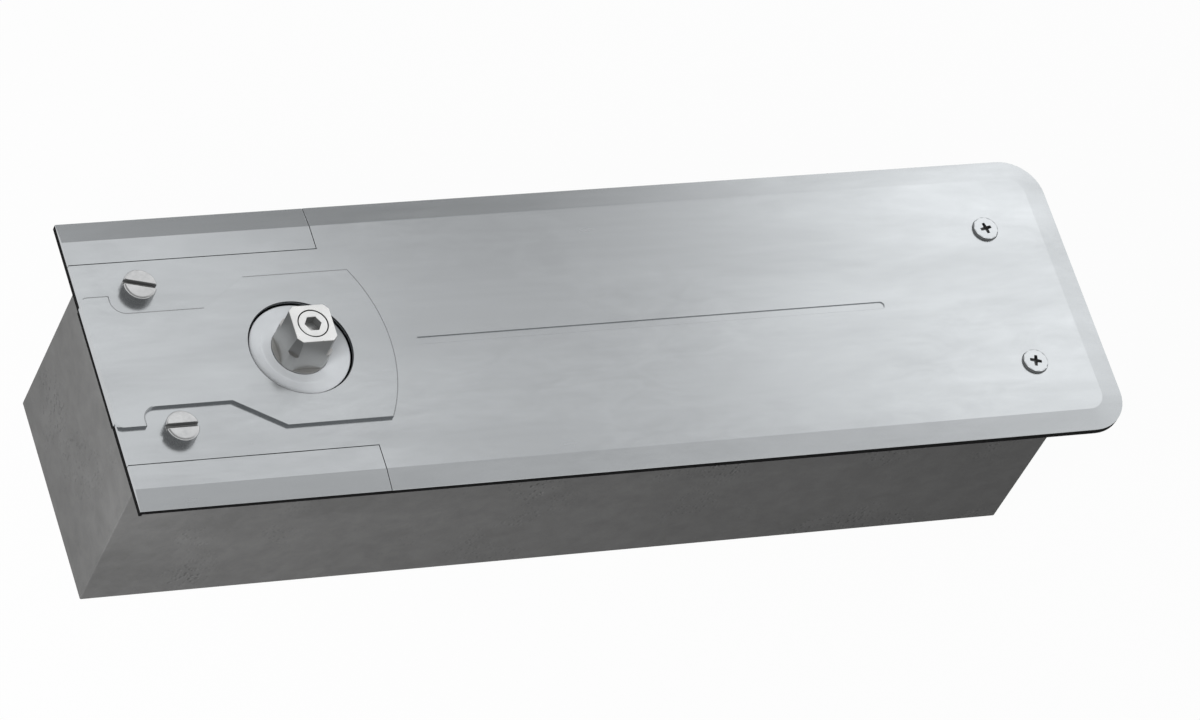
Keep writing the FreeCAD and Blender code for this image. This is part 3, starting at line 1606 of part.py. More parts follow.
def make_thrust_bearing():
    """The two washers and the ring of rollers that carry the door's weight."""
    inside = "shaft_pilot_radius + shaft_fit"
    upper_low = "thrust_top - thrust_washer_thickness"
    upper_rim = "thrust_radius - small_gap"
    keep("thrust_shaft_washer", washer("thrust_upper", inside, upper_rim, upper_low, "thrust_top"))
    lower_high = "thrust_low + thrust_washer_thickness"
    lower_bore = f"{inside} + thrust_washer_play"
    keep("thrust_seat_washer", washer("thrust_lower", lower_bore, "thrust_radius", "thrust_low", lower_high))
    roller = thrust_roller("thrust_roller", "thrust_roller_radius", "thrust_roller_length / 2")
    keep("thrust_rollers", ring_of_rollers("thrust_rollers", roller, THRUST_ROLLER_COUNT))
    room_half = "thrust_roller_length / 2 + small_gap"
    room = thrust_roller("thrust_room", "thrust_roller_radius + pin_fit", room_half)
    rooms = ring_of_rollers("thrust_rooms", room, THRUST_ROLLER_COUNT)
    blank = washer(
        "thrust_cage_ring",
        "shaft_pilot_radius + running_gap",
        "thrust_radius - running_gap",
        "thrust_middle - thrust_cage_thickness / 2",
        "thrust_middle + thrust_cage_thickness / 2",
    )
    keep("thrust_cage", cut("thrust_cage_cut", blank, rooms))
    keep("lower_bush", washer("lower_bush_ring", inside, "bush_radius", "bush_low", "thrust_low"))


def thrust_roller(name, radius, half):
    """A roller that lies along a spoke of the thrust bearing, or the room it lies in."""
    start = f"thrust_circle - ({half})"
    end = f"thrust_circle + ({half})"
    return moved(name + "_piece", bar(name, radius, start, end, z="thrust_middle"))


def make_cover_ring():
    """The ring that closes the hole round the spindle, with faint raised steps."""
    inside = "insert_radius + cover_ring_clearance"
    low = "cover_ring_top - cover_ring_step"
    middle = "(cover_ring_radius + insert_radius) / 2"
    shaft_room = "shaft_radius + cover_ring_clearance"
    shaft_clear = "shaft_top + cover_ring_clearance"
    keep("spindle_cover_ring", turned("cover_ring", [
        (shaft_room, "-cap_hub_top"),
        ("cover_ring_radius", "-cap_hub_top"),
        ("cover_ring_radius", "cover_ring_top"),
        ("cover_ring_radius - cover_ring_rim", "cover_ring_top"),
        ("cover_ring_radius - cover_ring_rim", low),
        (middle, low),
        (middle, "cover_ring_top"),
        (inside, "cover_ring_top"),
        (inside, shaft_clear),
        (shaft_room, shaft_clear),
    ]))


# Valves and filling plug


def make_valves():
    ring_low = "-valve_ring_top - o_ring_width"
    stem = "valve_radius - o_ring_depth / 2"
    head_high = "cap_high - valve_top_sink"
    profile = [
        ("0", "-valve_bottom"),
        ("valve_tip_radius", "-valve_bottom"),
        ("valve_radius - valve_cone_step", "valve_cone_height - valve_bottom"),
        ("valve_radius", "valve_cone_height - valve_bottom"),
        ("valve_radius", ring_low),
        (stem, ring_low),
        (stem, "-valve_ring_top"),
        ("valve_radius", "-valve_ring_top"),
        ("valve_radius", head_high),
        ("0", head_high),
    ]
    for label, side in valves():
        blank = turned(label, profile)
        slot = block(
            label + "_slot",
            ("-valve_radius - overshoot", "valve_radius + overshoot"),
            ("-slot_width / 2", "slot_width / 2"),
            (f"{head_high} - slot_depth", f"{head_high} + overshoot"),
        )
        screw = cut(label + "_cut", blank, slot)
        bind(screw, "Placement.Base.x", "valve_along")
        bind(screw, "Placement.Base.y", f"{side} * valve_across")
        keep(label, screw)
        o_ring = washer(
            label + "_ring",
            f"{stem} + press_clearance",
            "valve_radius",
            f"{ring_low} + press_clearance",
            "-valve_ring_top - press_clearance",
        )
        bind(o_ring, "Placement.Base.x", "valve_along")
        bind(o_ring, "Placement.Base.y", f"{side} * valve_across")
        keep(label.replace("valve", "o_ring"), o_ring)


def make_fill_plug():
    seat = "fill_washer_thickness - fill_boss_top"
    shank_low = "bore_axis + bore_radius + running_gap"
    body = new_body("fill_plug")
    shank = new_sketch(body, "fill_plug_shank", offset=shank_low)
    draw_circle(shank, "0", "0", "fill_plug_radius")
    pad(body, shank, f"{seat} + small_gap - ({shank_low})")
    head = new_sketch(body, "fill_plug_hexagon", offset=seat)
    draw_polygon(head, hexagon("fill_plug_flat"))
    pad(body, head, "fill_plug_head")
    bind(body, "Placement.Base.x", "fill_plug_along")
    keep("oil_fill_plug", body)
    inside = "fill_plug_radius + small_gap"
    outside = "fill_plug_flat / 2 + fill_washer_rim"
    ring = washer("fill_washer", inside, outside, "-fill_boss_top", seat)
    bind(ring, "Placement.Base.x", "fill_plug_along")
    keep("fill_plug_washer", ring)


# Studs and nuts that carry the housing in the box


def stud_places():
    return [
        (x, f"{side} * {across}")
        for x, across in (("-left_stud_back", "left_stud_across"), ("right_stud_along", "right_stud_across"))
        for side in (1, -1)
    ]


def make_studs():
    stud = rod("stud", "stud_radius", "box_floor", "-stud_top")
    nut = new_body("stud_nut")
    outline = new_sketch(nut, "stud_nut_outline")
    draw_polygon(outline, hexagon("nut_flat"))
    draw_circle(outline, "0", "0", "stud_radius + thread_clearance")
    pad(nut, outline, "nut_height")
    places = stud_places()
    copies("mounting_studs", moved("stud_piece", stud), [(x, y, "0") for x, y in places])
    copies("levelling_nuts", nut, [(x, y, "housing_low - nut_height") for x, y in places])
    copies("clamping_nuts", nut, [(x, y, "housing_high") for x, y in places])


def check_document():
    """Stop if any object failed or any sub-part has no sound solid."""
    doc.recompute()
    for obj in doc.Objects:
        if {"Invalid", "Error"} & set(obj.State):
            raise RuntimeError(f"{obj.Label} did not build: {obj.State}")
    for label, obj in parts.items():
        shape = obj.Shape
        if shape.isNull() or not shape.isValid() or not shape.Solids:
            raise RuntimeError(f"{label} is not a sound solid")


def write_parts():
    os.makedirs("parts", exist_ok=True)
    for label, obj in parts.items():
        obj.Shape.exportStep(f"parts/{label}.step")


def build():
    fill_sheet()
    make_cement_box()
    make_brackets()
    make_gasket()
    make_cover()
    make_centre_plate()
    make_slotted_screws()
    make_cross_screws()
    make_spindle_insert()
    make_insert_screw()
    make_spindle_shaft()
    make_cam()
    make_carriage()
    make_piston()
    make_check_valve()
    make_spring()
    make_spring_plate()
    make_adjusting_screw()
    make_end_cap()
    make_end_screws()
    make_housing()
    make_bearing_cap()
    make_cap_gasket()
    make_shaft_seal()
    make_upper_bearing()
    make_needles()
    make_thrust_bearing()
    make_cover_ring()
    make_valves()
    make_fill_plug()
    make_studs()
    check_document()
    write_parts()


build()
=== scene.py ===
import json
import math

import bmesh
import bpy
from mathutils import Matrix, Vector


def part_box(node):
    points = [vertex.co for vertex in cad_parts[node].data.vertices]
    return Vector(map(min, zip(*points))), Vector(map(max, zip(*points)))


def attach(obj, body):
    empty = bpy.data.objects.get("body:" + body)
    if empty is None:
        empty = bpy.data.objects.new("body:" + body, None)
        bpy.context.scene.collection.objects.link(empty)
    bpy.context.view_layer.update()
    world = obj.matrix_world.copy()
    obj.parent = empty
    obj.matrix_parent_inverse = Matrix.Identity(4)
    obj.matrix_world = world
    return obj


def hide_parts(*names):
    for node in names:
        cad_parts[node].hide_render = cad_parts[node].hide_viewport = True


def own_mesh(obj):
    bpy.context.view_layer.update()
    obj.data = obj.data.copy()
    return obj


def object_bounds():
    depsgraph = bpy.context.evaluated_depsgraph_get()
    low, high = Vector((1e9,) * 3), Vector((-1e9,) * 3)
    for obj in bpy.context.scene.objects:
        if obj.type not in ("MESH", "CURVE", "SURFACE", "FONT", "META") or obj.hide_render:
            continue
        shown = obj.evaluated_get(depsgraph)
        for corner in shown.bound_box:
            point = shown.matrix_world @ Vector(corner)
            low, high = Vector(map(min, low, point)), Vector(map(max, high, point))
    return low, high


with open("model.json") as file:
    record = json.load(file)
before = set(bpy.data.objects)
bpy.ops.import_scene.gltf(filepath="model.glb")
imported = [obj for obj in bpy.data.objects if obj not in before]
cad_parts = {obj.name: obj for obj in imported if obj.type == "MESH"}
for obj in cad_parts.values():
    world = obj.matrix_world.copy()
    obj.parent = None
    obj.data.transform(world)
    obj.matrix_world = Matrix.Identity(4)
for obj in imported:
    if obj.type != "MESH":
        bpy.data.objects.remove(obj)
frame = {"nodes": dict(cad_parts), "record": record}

cad_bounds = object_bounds()

# Blender works in metres. Values about the part are in millimetres, and those about the camera, the
# lamps, the card, the screen and the floor are in metres.
MM = 0.001

# Camera, worked out from the straight edges in the photograph
CAMERA_PLACE = (-0.82003, -1.05230, 1.70782)
CAMERA_RIGHT = (0.90483328, -0.28474706, 0.31653727)
CAMERA_DOWN = (-0.0711197, -0.83409058, -0.54702366)
CAMERA_FORWARD = (0.41978413, 0.47245318, -0.77496405)
CAMERA_LENS = 200.196
CAMERA_SENSOR = 36
CAMERA_CLIP = (0.05, 50)

# Light levels
BACKDROP = 1.0
AMBIENT = 0.13
FLOOR_GLOW = 0.97
FLOOR_COLOUR = (0.5, 0.5, 0.5, 1)
KEY_WATTS = 5.4
REAR_WATTS = 7.0

# The two lamps: where they are, what they point at, and how wide they are
KEY_PLACE = (-0.39, -0.29, 0.3)
KEY_TARGET = (-0.02, -0.02, -0.03)
KEY_SIZE = 0.3
REAR_PLACE = (0.9, 0.9, 0.7)
REAR_TARGET = (0.1, 0, -0.04)
REAR_SIZE = 1.5

# How far the floor reaches from the middle
FLOOR_REACH = 6.0

# A graded card that the cover mirrors: its corners, its height, the light that full white stands for,
# and its levels along X in each band, whose first pair says where it takes over from the band before
# it along Y. The levels were set by comparing renders with the photograph.
CARD_CORNERS = ((-0.08, -0.1), (1.1, 1.1))
CARD_HEIGHT = 0.5
CARD_FULL = 2.0
CARD_BANDS = (
    ((0, 0), (
        (-0.08, 0.9), (0.12, 0.69), (0.2, 0.64), (0.34, 0.71), (0.4, 0.78), (0.47, 0.88),
        (0.53, 0.97), (0.65, 1.0), (0.8, 1.1), (1.1, 1.0),
    )),
    ((0.13, 0.22), (
        (-0.08, 1.0), (0.16, 1.2), (0.22, 1.15), (0.27, 0.98), (0.34, 0.82), (0.39, 0.82),
        (0.45, 1.0), (0.5, 1.31), (0.56, 1.58), (0.66, 1.45), (0.75, 1.05), (1.1, 1.0),
    )),
    ((0.3, 0.36), (
        (-0.08, 1.0), (0.16, 1.22), (0.22, 1.13), (0.26, 0.88), (0.31, 0.54), (0.35, 0.44),
        (0.39, 0.53), (0.45, 0.9), (0.5, 1.38), (0.56, 1.85), (0.66, 1.75), (0.75, 1.62),
        (1.1, 1.0),
    )),
    ((0.4, 0.5), (
        (-0.08, 0.9), (0.15, 0.6), (0.22, 0.52), (0.28, 0.4), (0.36, 0.29), (0.42, 0.3),
        (0.48, 0.49), (0.54, 0.93), (0.6, 1.52), (0.75, 1.75), (1.1, 1.0),
    )),
    ((0.8, 1.05), (
        (-0.08, 1.0), (1.1, 1.0),
    )),
)

# A dim screen behind the camera, mirrored by the walls and chamfers that face it: its middle, reach,
# level, and the directions that it spans, in degrees
SCREEN_MIDDLE = (0.1, 0, 0)
SCREEN_RADIUS = 1.0
SCREEN_LEVEL = 0.38
SCREEN_TURN = (120, 330)
SCREEN_RISE = (22, 72)
SCREEN_TURN_STEPS = 24
SCREEN_RISE_STEPS = 8

# When surfaces are copied: how close corners join, in millimetres, and how flat a joined face is, in
# degrees
JOIN_DISTANCE = 0.001
FLAT_ANGLE = 0.4

# The angle from which an edge is softened, the one from which it stays sharp, and the one from which
# it shows as a line at the foot of a slope, in degrees
SOFTEN_ANGLE = 32
SHARP_ANGLE = 40
LINE_ANGLE = 3

# A face is level if its normal's Z is above the first, upright if it is below the second, and a slope
# if it is between the last two
LEVEL = 0.9
UPRIGHT = 0.5
SLOPE = (0.1, 0.97)

# A slope faces away if its normal's X or Y is above this, and isn't to the left if its X is above that
FACES_AWAY = 0.1
NOT_LEFT = -0.2

# How near to a face's place a corner counts as lying on it
NEAR = 0.005

# Edges that are softened, by node: how wide in millimetres, and from which level up
SOFT_EDGES = {
    "cover_plate": (0.12, 0),
    "front_corner_strip": (0.12, 0),
    "rear_corner_strip": (0.12, 0),
    "centre_plate": (0.25, 4.1),
    "slotted_cover_screws": (0.38, 3),
    "cross_cover_screws": (0.1, 3),
    "spindle_insert": (0.15, 18.2),
    "spindle_insert_screw": (0.15, 18),
    "cement_box": (0.5, -200),
    "cover_gasket": (0.2, -200),
}

# Edges further out than this, at the cover's straight end, stay square, in millimetres
STRAIGHT_END = -69.7

# How far the gasket's rim sags, how high it reaches under the centre plate's lip, that lip's half
# width, the level under which the rim sags, and how far outside the box it starts to
GASKET_SAG = 0.7
GASKET_LIP = 1.19
GASKET_TAB = 22.2
GASKET_FOOT = 0.4
GASKET_CLEAR = 0.5

# The gasket's blocks: the gap behind the one under the lip and its edges' width, and how deep and how
# high the two at the straight end are, and their edges' width
LIP_BLOCK_GAP = 0.02
LIP_BLOCK_EDGE = 0.08
END_BLOCK_DEPTH = 1
END_BLOCK_TOP = 0.1
END_BLOCK_EDGE = 0.02

# How far the corner strips reach into their gap to the cover, in millimetres
STRIP_REACH = 0.13

# How much wider the centre plate's far slopes are drawn, so that their painted shade line shows, in
# millimetres, and the least share of a corner's two slopes that it is drawn in by
FAR_SLOPE = 0.32
CORNER_SHARE = 0.5

# The centre plate's hole as drawn: the rim's radius on top, the radii that are drawn in to it, and
# the reach within which its rim gets painted shadow
HOLE_RIM = 17.9
HOLE_RIM_FROM = (17.95, 18.5)
HOLE_REACH = 18.6

# The centre plate's level face, and the level from which its slopes get painted shade
PLATE_FACE = 4.1
PLATE_FOOT = 3.6

# The centre line's front lip, which gets painted shade: its span along Y, where it starts along X,
# and its lowest level
GROOVE_LIP = (-2, -1)
GROOVE_START = 35
GROOVE_FOOT = 2.5

# The slotted screws, whose slots get painted shade and whose rims a painted highlight: where their
# slots and their rims are, and the normal's least Z on the rim and on the top
SLOT_LEVELS = (3, 6.7)
SLOT_REACH = 4.9
RIM_FOOT = 6.9
RIM_TILT = 0.25
TOP_TILT = 0.4

# The spindle's insert, where shade and a highlight are painted: its corners' ledges, the corners' top
# and the least X and Y of their normals, its bore, and its machined end
LEDGE_LEVELS = (9, 12)
CORNER_TOP = 18.25
CORNER_TURN = 0.4
BORE_TOP = 18.2
BORE_REACH = 5.3
END_FOOT = 17.9

# The cross screws' heads as drawn: radii of the top and the side, the drop, the crosses' reach and
# share, their levels, and the normal's least Z on the top
HEAD_TOP = 4.15
HEAD_SIDE = 4.45
HEAD_DROP = 0.35
CROSS_MIDDLE = 1.5
CROSS_REACH = 3.0
CROSS_SHARE = 0.8
CROSS_FOOT = 2
CROSS_TOP = 3.6
HEAD_FOOT = 2.95
HEAD_FACE = 4.1
HEAD_TILT = 0.8

# The cover ring's outline as (radius, height), slightly dished, and how many flats go round it
RING_OUTLINE = (
    (10.3, -0.45), (17.1, -0.45), (17.2, -0.35), (17.2, 2.75), (17.12, 2.93), (16.95, 3.0),
    (16.2, 2.98), (15.0, 2.93), (14.0, 2.91), (13.2, 2.93), (12.7, 2.97), (12.1, 2.985), (11.2, 2.97),
    (10.4, 2.98), (9.9, 3.0), (9.7, 2.97), (9.66, 2.9), (9.66, 1.15), (10.3, 1.1),
)
RING_STEPS = 96

# Colours, linear. Some faces of a piece have a darker or lighter one than the rest: painted shade and
# painted highlights, so that its edges, rims and hollows show.
SATIN = (0.489, 0.509, 0.524, 1)
BRIGHT = (0.54, 0.545, 0.55, 1)
GROUND_STEEL = (0.5, 0.5, 0.51, 1)
RING = (0.53, 0.55, 0.57, 1)
# Painted highlight: a lighter colour for the insert's machined end and its screw's top
END_PAINTED_HIGHLIGHT = (0.84, 0.845, 0.84, 1)
GROUND_SIDE = (0.52, 0.52, 0.51, 1)
# Painted shade: a darker colour for the insert's corners, ledges and bore
CORNER_PAINTED_SHADE = (0.44, 0.44, 0.435, 1)
# Painted shade: a dark grey for the insides of slots, crosses and sockets, and the cross screws' rims
SOCKET_PAINTED_SHADE = (0.28, 0.285, 0.285, 1)
# Painted shade: a darker colour for the slotted screws' side walls, standing in for a dark reflection
SCREW_SIDE_PAINTED_SHADE = (0.46, 0.465, 0.47, 1)
# Painted highlight: a bright colour round the slotted screws' rims
SCREW_RIM_PAINTED_HIGHLIGHT = (0.8, 0.8, 0.8, 1)
# Painted shadow: a near black for the centre plate's hole rim and the front of the cover's centre line
PLATE_EDGE_PAINTED_SHADOW = (0.09, 0.093, 0.098, 1)
# Painted shade: a grey line along the centre plate's far slopes
PLATE_LINE_PAINTED_SHADE = (0.3, 0.31, 0.32, 1)
ZINC = (0.48, 0.49, 0.48, 1)
SPRING_STEEL = (0.13, 0.14, 0.16, 1)
BLACK_OXIDE = (0.03, 0.03, 0.032, 1)
IRON = (0.14, 0.14, 0.145, 1)
BOX_GREY = (0.124, 0.124, 0.123, 1)
RUBBER = (0.003, 0.003, 0.0032, 1)
FIBRE = (0.06, 0.05, 0.035, 1)
BRONZE = (0.42, 0.25, 0.1, 1)
COPPER = (0.5, 0.24, 0.13, 1)


class Shader:
    """A material's node tree, with a short way to add and join nodes."""

    def __init__(self, name):
        self.material = bpy.data.materials.new(name)
        self.material.use_nodes = True
        self.tree = self.material.node_tree
        self.tree.nodes.clear()
        self.surface = self.node("ShaderNodeBsdfPrincipled")
        output = self.node("ShaderNodeOutputMaterial")
        self.join(self.surface.outputs["BSDF"], output.inputs["Surface"])
        self.place = self.node("ShaderNodeTexCoord").outputs["Object"]

    def node(self, kind, **settings):
        made = self.tree.nodes.new(kind)
        for name, value in settings.items():
            setattr(made, name, value)
        return made

    def join(self, source, target):
        self.tree.links.new(source, target)

    def stretched(self, scale):
        """The object's own coordinates, in metres, scaled differently along each axis."""
        mapping = self.node("ShaderNodeMapping")
        mapping.inputs["Scale"].default_value = scale
        self.join(self.place, mapping.inputs["Vector"])
        return mapping.outputs["Vector"]

    def noise(self, scale, detail=3.0, roughness=0.5, distortion=0.0):
        """Noise with as many features a metre along each axis as scale says."""
        made = self.node("ShaderNodeTexNoise")
        made.inputs["Scale"].default_value = 1.0
        made.inputs["Detail"].default_value = detail
        made.inputs["Roughness"].default_value = roughness
        made.inputs["Distortion"].default_value = distortion
        self.join(self.stretched(scale), made.inputs["Vector"])
        return made.outputs["Fac"]

    def ramp(self, value, low, high, start=0.0, end=1.0):
        """Value taken from low..high to start..end, and held there."""
        made = self.node("ShaderNodeMapRange", clamp=True)
        made.inputs["From Min"].default_value = low
        made.inputs["From Max"].default_value = high
        made.inputs["To Min"].default_value = start
        made.inputs["To Max"].default_value = end
        self.join(value, made.inputs["Value"])
        return made.outputs["Result"]

    def maths(self, operation, first, second):
        made = self.node("ShaderNodeMath", operation=operation)
        for socket, value in zip(made.inputs, (first, second)):
            if isinstance(value, (int, float)):
                socket.default_value = value
            else:
                self.join(value, socket)
        return made.outputs["Value"]

    def mix(self, factor, first, second):
        """A colour between two colours."""
        made = self.node("ShaderNodeMix", data_type="RGBA")
        for socket, value in ((made.inputs[0], factor), (made.inputs[6], first), (made.inputs[7], second)):
            if isinstance(value, (int, float, tuple)):
                socket.default_value = value
            else:
                self.join(value, socket)
        return made.outputs[2]

    def bump(self, height, distance, strength=1.0, under=None):
        made = self.node("ShaderNodeBump")
        made.inputs["Strength"].default_value = strength
        made.inputs["Distance"].default_value = distance
        self.join(height, made.inputs["Height"])
        if under is not None:
            self.join(under, made.inputs["Normal"])
        return made.outputs["Normal"]

    def set(self, name, value):
        socket = self.surface.inputs[name]
        if isinstance(value, (int, float, tuple)):
            socket.default_value = value
        else:
            self.join(value, socket)


def shade(colour, amount):
    """A colour made darker or lighter by a share."""
    return tuple(part * amount for part in colour[:3]) + (1,)


def brushed_metal(name, colour, rough, grain, streak=0.05, cloud=0.1, cloud_scale=(9, 42, 42)):
    """Satin metal with streaks along its grain and soft smears over them."""
    made = Shader(name)
    clouds = made.noise(cloud_scale, detail=4.0, roughness=0.62, distortion=0.35)
    smears = made.noise((55, 120, 120), detail=4.0, roughness=0.6, distortion=0.6)
    places = made.ramp(made.noise((12, 22, 22), detail=1.0), 0.4, 0.62)
    streaks = made.noise(grain, detail=2.0)
    wide = made.ramp(clouds, 0.32, 0.7)
    small = made.maths("MULTIPLY", made.ramp(smears, 0.32, 0.68, -0.5, 0.5), places)
    light = made.maths("ADD", wide, made.maths("MULTIPLY", small, 0.85))
    line = made.ramp(streaks, 0.3, 0.7)
    blend = made.maths("ADD", made.maths("MULTIPLY", light, cloud), made.maths("MULTIPLY", line, streak))
    made.set("Base Color", made.mix(blend, shade(colour, 0.93), shade(colour, 1.5)))
    made.set("Metallic", 1.0)
    cloudy = made.ramp(clouds, 0.3, 0.7, rough + 0.05, rough - 0.04)
    made.set("Roughness", made.maths("ADD", cloudy, made.ramp(streaks, 0.3, 0.7, 0, 0.015)))
    made.set("Normal", made.bump(streaks, 0.001 * MM, 0.6))
    return made.material


def turned_metal(name, colour, rough, uneven=0.09, depth=0.003, metal=1.0):
    """Machined metal with fine, uneven marks."""
    made = Shader(name)
    marks = made.noise((900, 900, 2600), detail=2.0)
    patches = made.noise((140, 140, 140), detail=3.0)
    tone = made.mix(made.ramp(patches, 0.35, 0.7), shade(colour, 1 - uneven), shade(colour, 1 + uneven))
    made.set("Base Color", tone)
    made.set("Metallic", metal)
    made.set("Roughness", made.ramp(marks, 0.3, 0.7, rough - 0.03, rough + 0.05))
    made.set("Normal", made.bump(marks, depth * MM, 0.5))
    return made.material


def cast_metal(name, colour):
    """Rough cast iron."""
    made = Shader(name)
    grain = made.noise((900, 900, 900), detail=4.0)
    patches = made.noise((60, 60, 60), detail=4.0)
    made.set("Base Color", made.mix(made.ramp(patches, 0.3, 0.7), shade(colour, 0.8), shade(colour, 1.2)))
    made.set("Metallic", 0.6)
    made.set("Roughness", made.ramp(grain, 0.3, 0.7, 0.5, 0.7))
    made.set("Normal", made.bump(grain, 0.12 * MM, 0.7))
    return made.material


def box_coating():
    """The box's mottled grey coating, with soft stains and groups of small pits."""
    made = Shader("box_coating")
    stains = made.noise((22, 22, 30), detail=5.0, roughness=0.62, distortion=0.5)
    mottle = made.noise((110, 110, 140), detail=4.0, roughness=0.65, distortion=0.4)
    specks = made.noise((420, 420, 420), detail=3.0, roughness=0.6)
    groups = made.ramp(made.noise((30, 30, 30), detail=2.0), 0.54, 0.68)
    pits = made.node("ShaderNodeTexVoronoi")
    pits.inputs["Scale"].default_value = 480.0
    made.join(made.place, pits.inputs["Vector"])
    hole = made.maths("MULTIPLY", made.ramp(pits.outputs["Distance"], 0.15, 0.42, 1, 0), groups)
    mottle_light = made.maths("MULTIPLY", made.ramp(mottle, 0.35, 0.65), 0.3)
    fine_light = made.maths("ADD", mottle_light, made.maths("MULTIPLY", specks, 0.2))
    light = made.maths("ADD", made.maths("MULTIPLY", made.ramp(stains, 0.3, 0.7), 0.6), fine_light)
    tone = made.mix(light, shade(BOX_GREY, 0.74), shade(BOX_GREY, 1.24))
    made.set("Base Color", made.mix(made.maths("MULTIPLY", hole, 0.14), tone, shade(BOX_GREY, 0.4)))
    made.set("Roughness", made.ramp(stains, 0.3, 0.7, 0.72, 0.88))
    made.set("Specular IOR Level", 0.3)
    fine = made.bump(specks, 0.12 * MM, 0.5)
    made.set("Normal", made.bump(made.maths("SUBTRACT", 1.0, hole), 0.3 * MM, 0.8, fine))
    return made.material


def rubber(name, colour):
    made = Shader(name)
    grain = made.noise((1500, 1500, 1500), detail=2.0)
    made.set("Base Color", made.mix(grain, shade(colour, 0.8), shade(colour, 1.3)))
    made.set("Roughness", made.ramp(grain, 0.3, 0.7, 0.55, 0.75))
    made.set("Specular IOR Level", 0.03)
    made.set("Normal", made.bump(grain, 0.02 * MM, 0.5))
    return made.material


MATERIALS = {
    "satin_steel": brushed_metal("satin_steel", SATIN, 0.22, (14, 420, 420), 0.03, 0.18),
    "bright_steel": turned_metal("bright_steel", BRIGHT, 0.22),
    "hardened_steel": turned_metal("hardened_steel", GROUND_STEEL, 0.25),
    "zinc_steel": turned_metal("zinc_steel", ZINC, 0.38),
    "spring_steel": turned_metal("spring_steel", SPRING_STEEL, 0.42),
    "black_screws": turned_metal("black_screws", BLACK_OXIDE, 0.45),
    "cast_iron": cast_metal("cast_iron", IRON),
    "box_coating": box_coating(),
    "black_rubber": rubber("black_rubber", RUBBER),
    "fibre_gasket": rubber("fibre_gasket", FIBRE),
    "bronze": turned_metal("bronze", BRONZE, 0.4),
    # Painted highlight on the insert's machined end and its screw's top
    "machined_end": turned_metal("machined_end", END_PAINTED_HIGHLIGHT, 0.3, 0.05),
    "turned_ring": turned_metal("turned_ring", RING, 0.46, 0.04, 0.001, 0.3),
    "ground_side": turned_metal("ground_side", GROUND_SIDE, 0.32, 0.04, 0.0005),
    # Painted shade on the insert's corners, ledges and bore
    "ground_corner": turned_metal("ground_corner", CORNER_PAINTED_SHADE, 0.32, 0.04, 0.0005),
    # Painted shade inside slots, crosses and sockets
    "socket_wall": turned_metal("socket_wall", SOCKET_PAINTED_SHADE, 0.4, 0.05, 0.001, 0.9),
    # Painted shade on the slotted screws' side walls
    "screw_wall": turned_metal("screw_wall", SCREW_SIDE_PAINTED_SHADE, 0.28, 0.05, 0.001),
    # Painted highlight round the slotted screws' rims
    "screw_rim": turned_metal("screw_rim", SCREW_RIM_PAINTED_HIGHLIGHT, 0.28, 0.04, 0.001, 0.72),
    # Painted shade line along the centre plate's far slopes
    "plate_line": turned_metal("plate_line", PLATE_LINE_PAINTED_SHADE, 0.3, 0.04, 0.001),
    # Painted shadow round the centre plate's hole and along the centre line's front
    "plate_edge": turned_metal("plate_edge", PLATE_EDGE_PAINTED_SHADOW, 0.4, 0.05, 0.001),
    "copper": turned_metal("copper", COPPER, 0.35),
}


RECORD = frame["record"]
SLOTS = {subpart["node"]: subpart["material_slot"] for subpart in RECORD["subparts"]}
BODIES = {node: body for body, nodes in RECORD["behaviour"]["bodies"].items() for node in nodes}


def dress_nodes():
    """Give every piece the material of its slot."""
    for node, slot in SLOTS.items():
        piece = frame["nodes"][node]
        piece.data.materials.clear()
        piece.data.materials.append(MATERIALS[slot])


def joined_copy(node):
    """A node's surface with its corners joined and its flat faces whole."""
    source = frame["nodes"][node].data
    mesh = bpy.data.meshes.new(node + "_shell")
    mesh.from_pydata([v.co for v in source.vertices], [], [tuple(p.vertices) for p in source.polygons])
    shell = bmesh.new()
    shell.from_mesh(mesh)
    bpy.data.meshes.remove(mesh)
    bmesh.ops.remove_doubles(shell, verts=shell.verts, dist=JOIN_DISTANCE * MM)
    bmesh.ops.dissolve_limit(
        shell, angle_limit=math.radians(FLAT_ANGLE), verts=shell.verts, edges=shell.edges,
    )
    return shell


def soften(shell, width, level):
    """Round off the sharp edges that lie at a level or above it."""
    edges = []
    for edge in shell.edges:
        sharp = len(edge.link_faces) == 2 and edge.calc_face_angle() > math.radians(SOFTEN_ANGLE)
        at_end = max(v.co.x for v in edge.verts) < STRAIGHT_END * MM
        if sharp and not at_end and min(v.co.z for v in edge.verts) >= level * MM:
            edges.append(edge)
    bmesh.ops.bevel(
        shell, geom=edges, offset=width * MM, offset_type="OFFSET", segments=2, profile=0.5,
        clamp_overlap=True, loop_slide=True, affect="EDGES",
    )


def stays_sharp(edge):
    """Whether an edge is a line that shows: a corner, or the foot of a slope on a level plate."""
    if len(edge.link_faces) != 2:
        return True
    angle = math.degrees(edge.calc_face_angle())
    level = min(face.normal.z for face in edge.link_faces) > LEVEL
    return angle > SHARP_ANGLE or (level and angle > LINE_ANGLE)


def add_piece(name, shell, node, materials, pick=None):
    """Turn a surface into a piece that stands for a node and rides with it."""
    mesh = bpy.data.meshes.new(name)
    for vertex in shell.verts:
        vertex.co = Vector(min(max(part, low), high) for part, low, high in zip(vertex.co, *cad_bounds))
    for face in shell.faces:
        face.smooth = True
        if pick:
            face.material_index = pick(face.calc_center_median() / MM, face.normal)
    for edge in shell.edges:
        edge.smooth = not stays_sharp(edge)
    shell.to_mesh(mesh)
    shell.free()
    for material in materials:
        mesh.materials.append(MATERIALS[material])
    piece = bpy.data.objects.new(name, mesh)
    bpy.context.scene.collection.objects.link(piece)
    weighted = piece.modifiers.new("even_shading", "WEIGHTED_NORMAL")
    weighted.keep_sharp = True
    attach(piece, BODIES[node])
    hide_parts(node)
    return piece


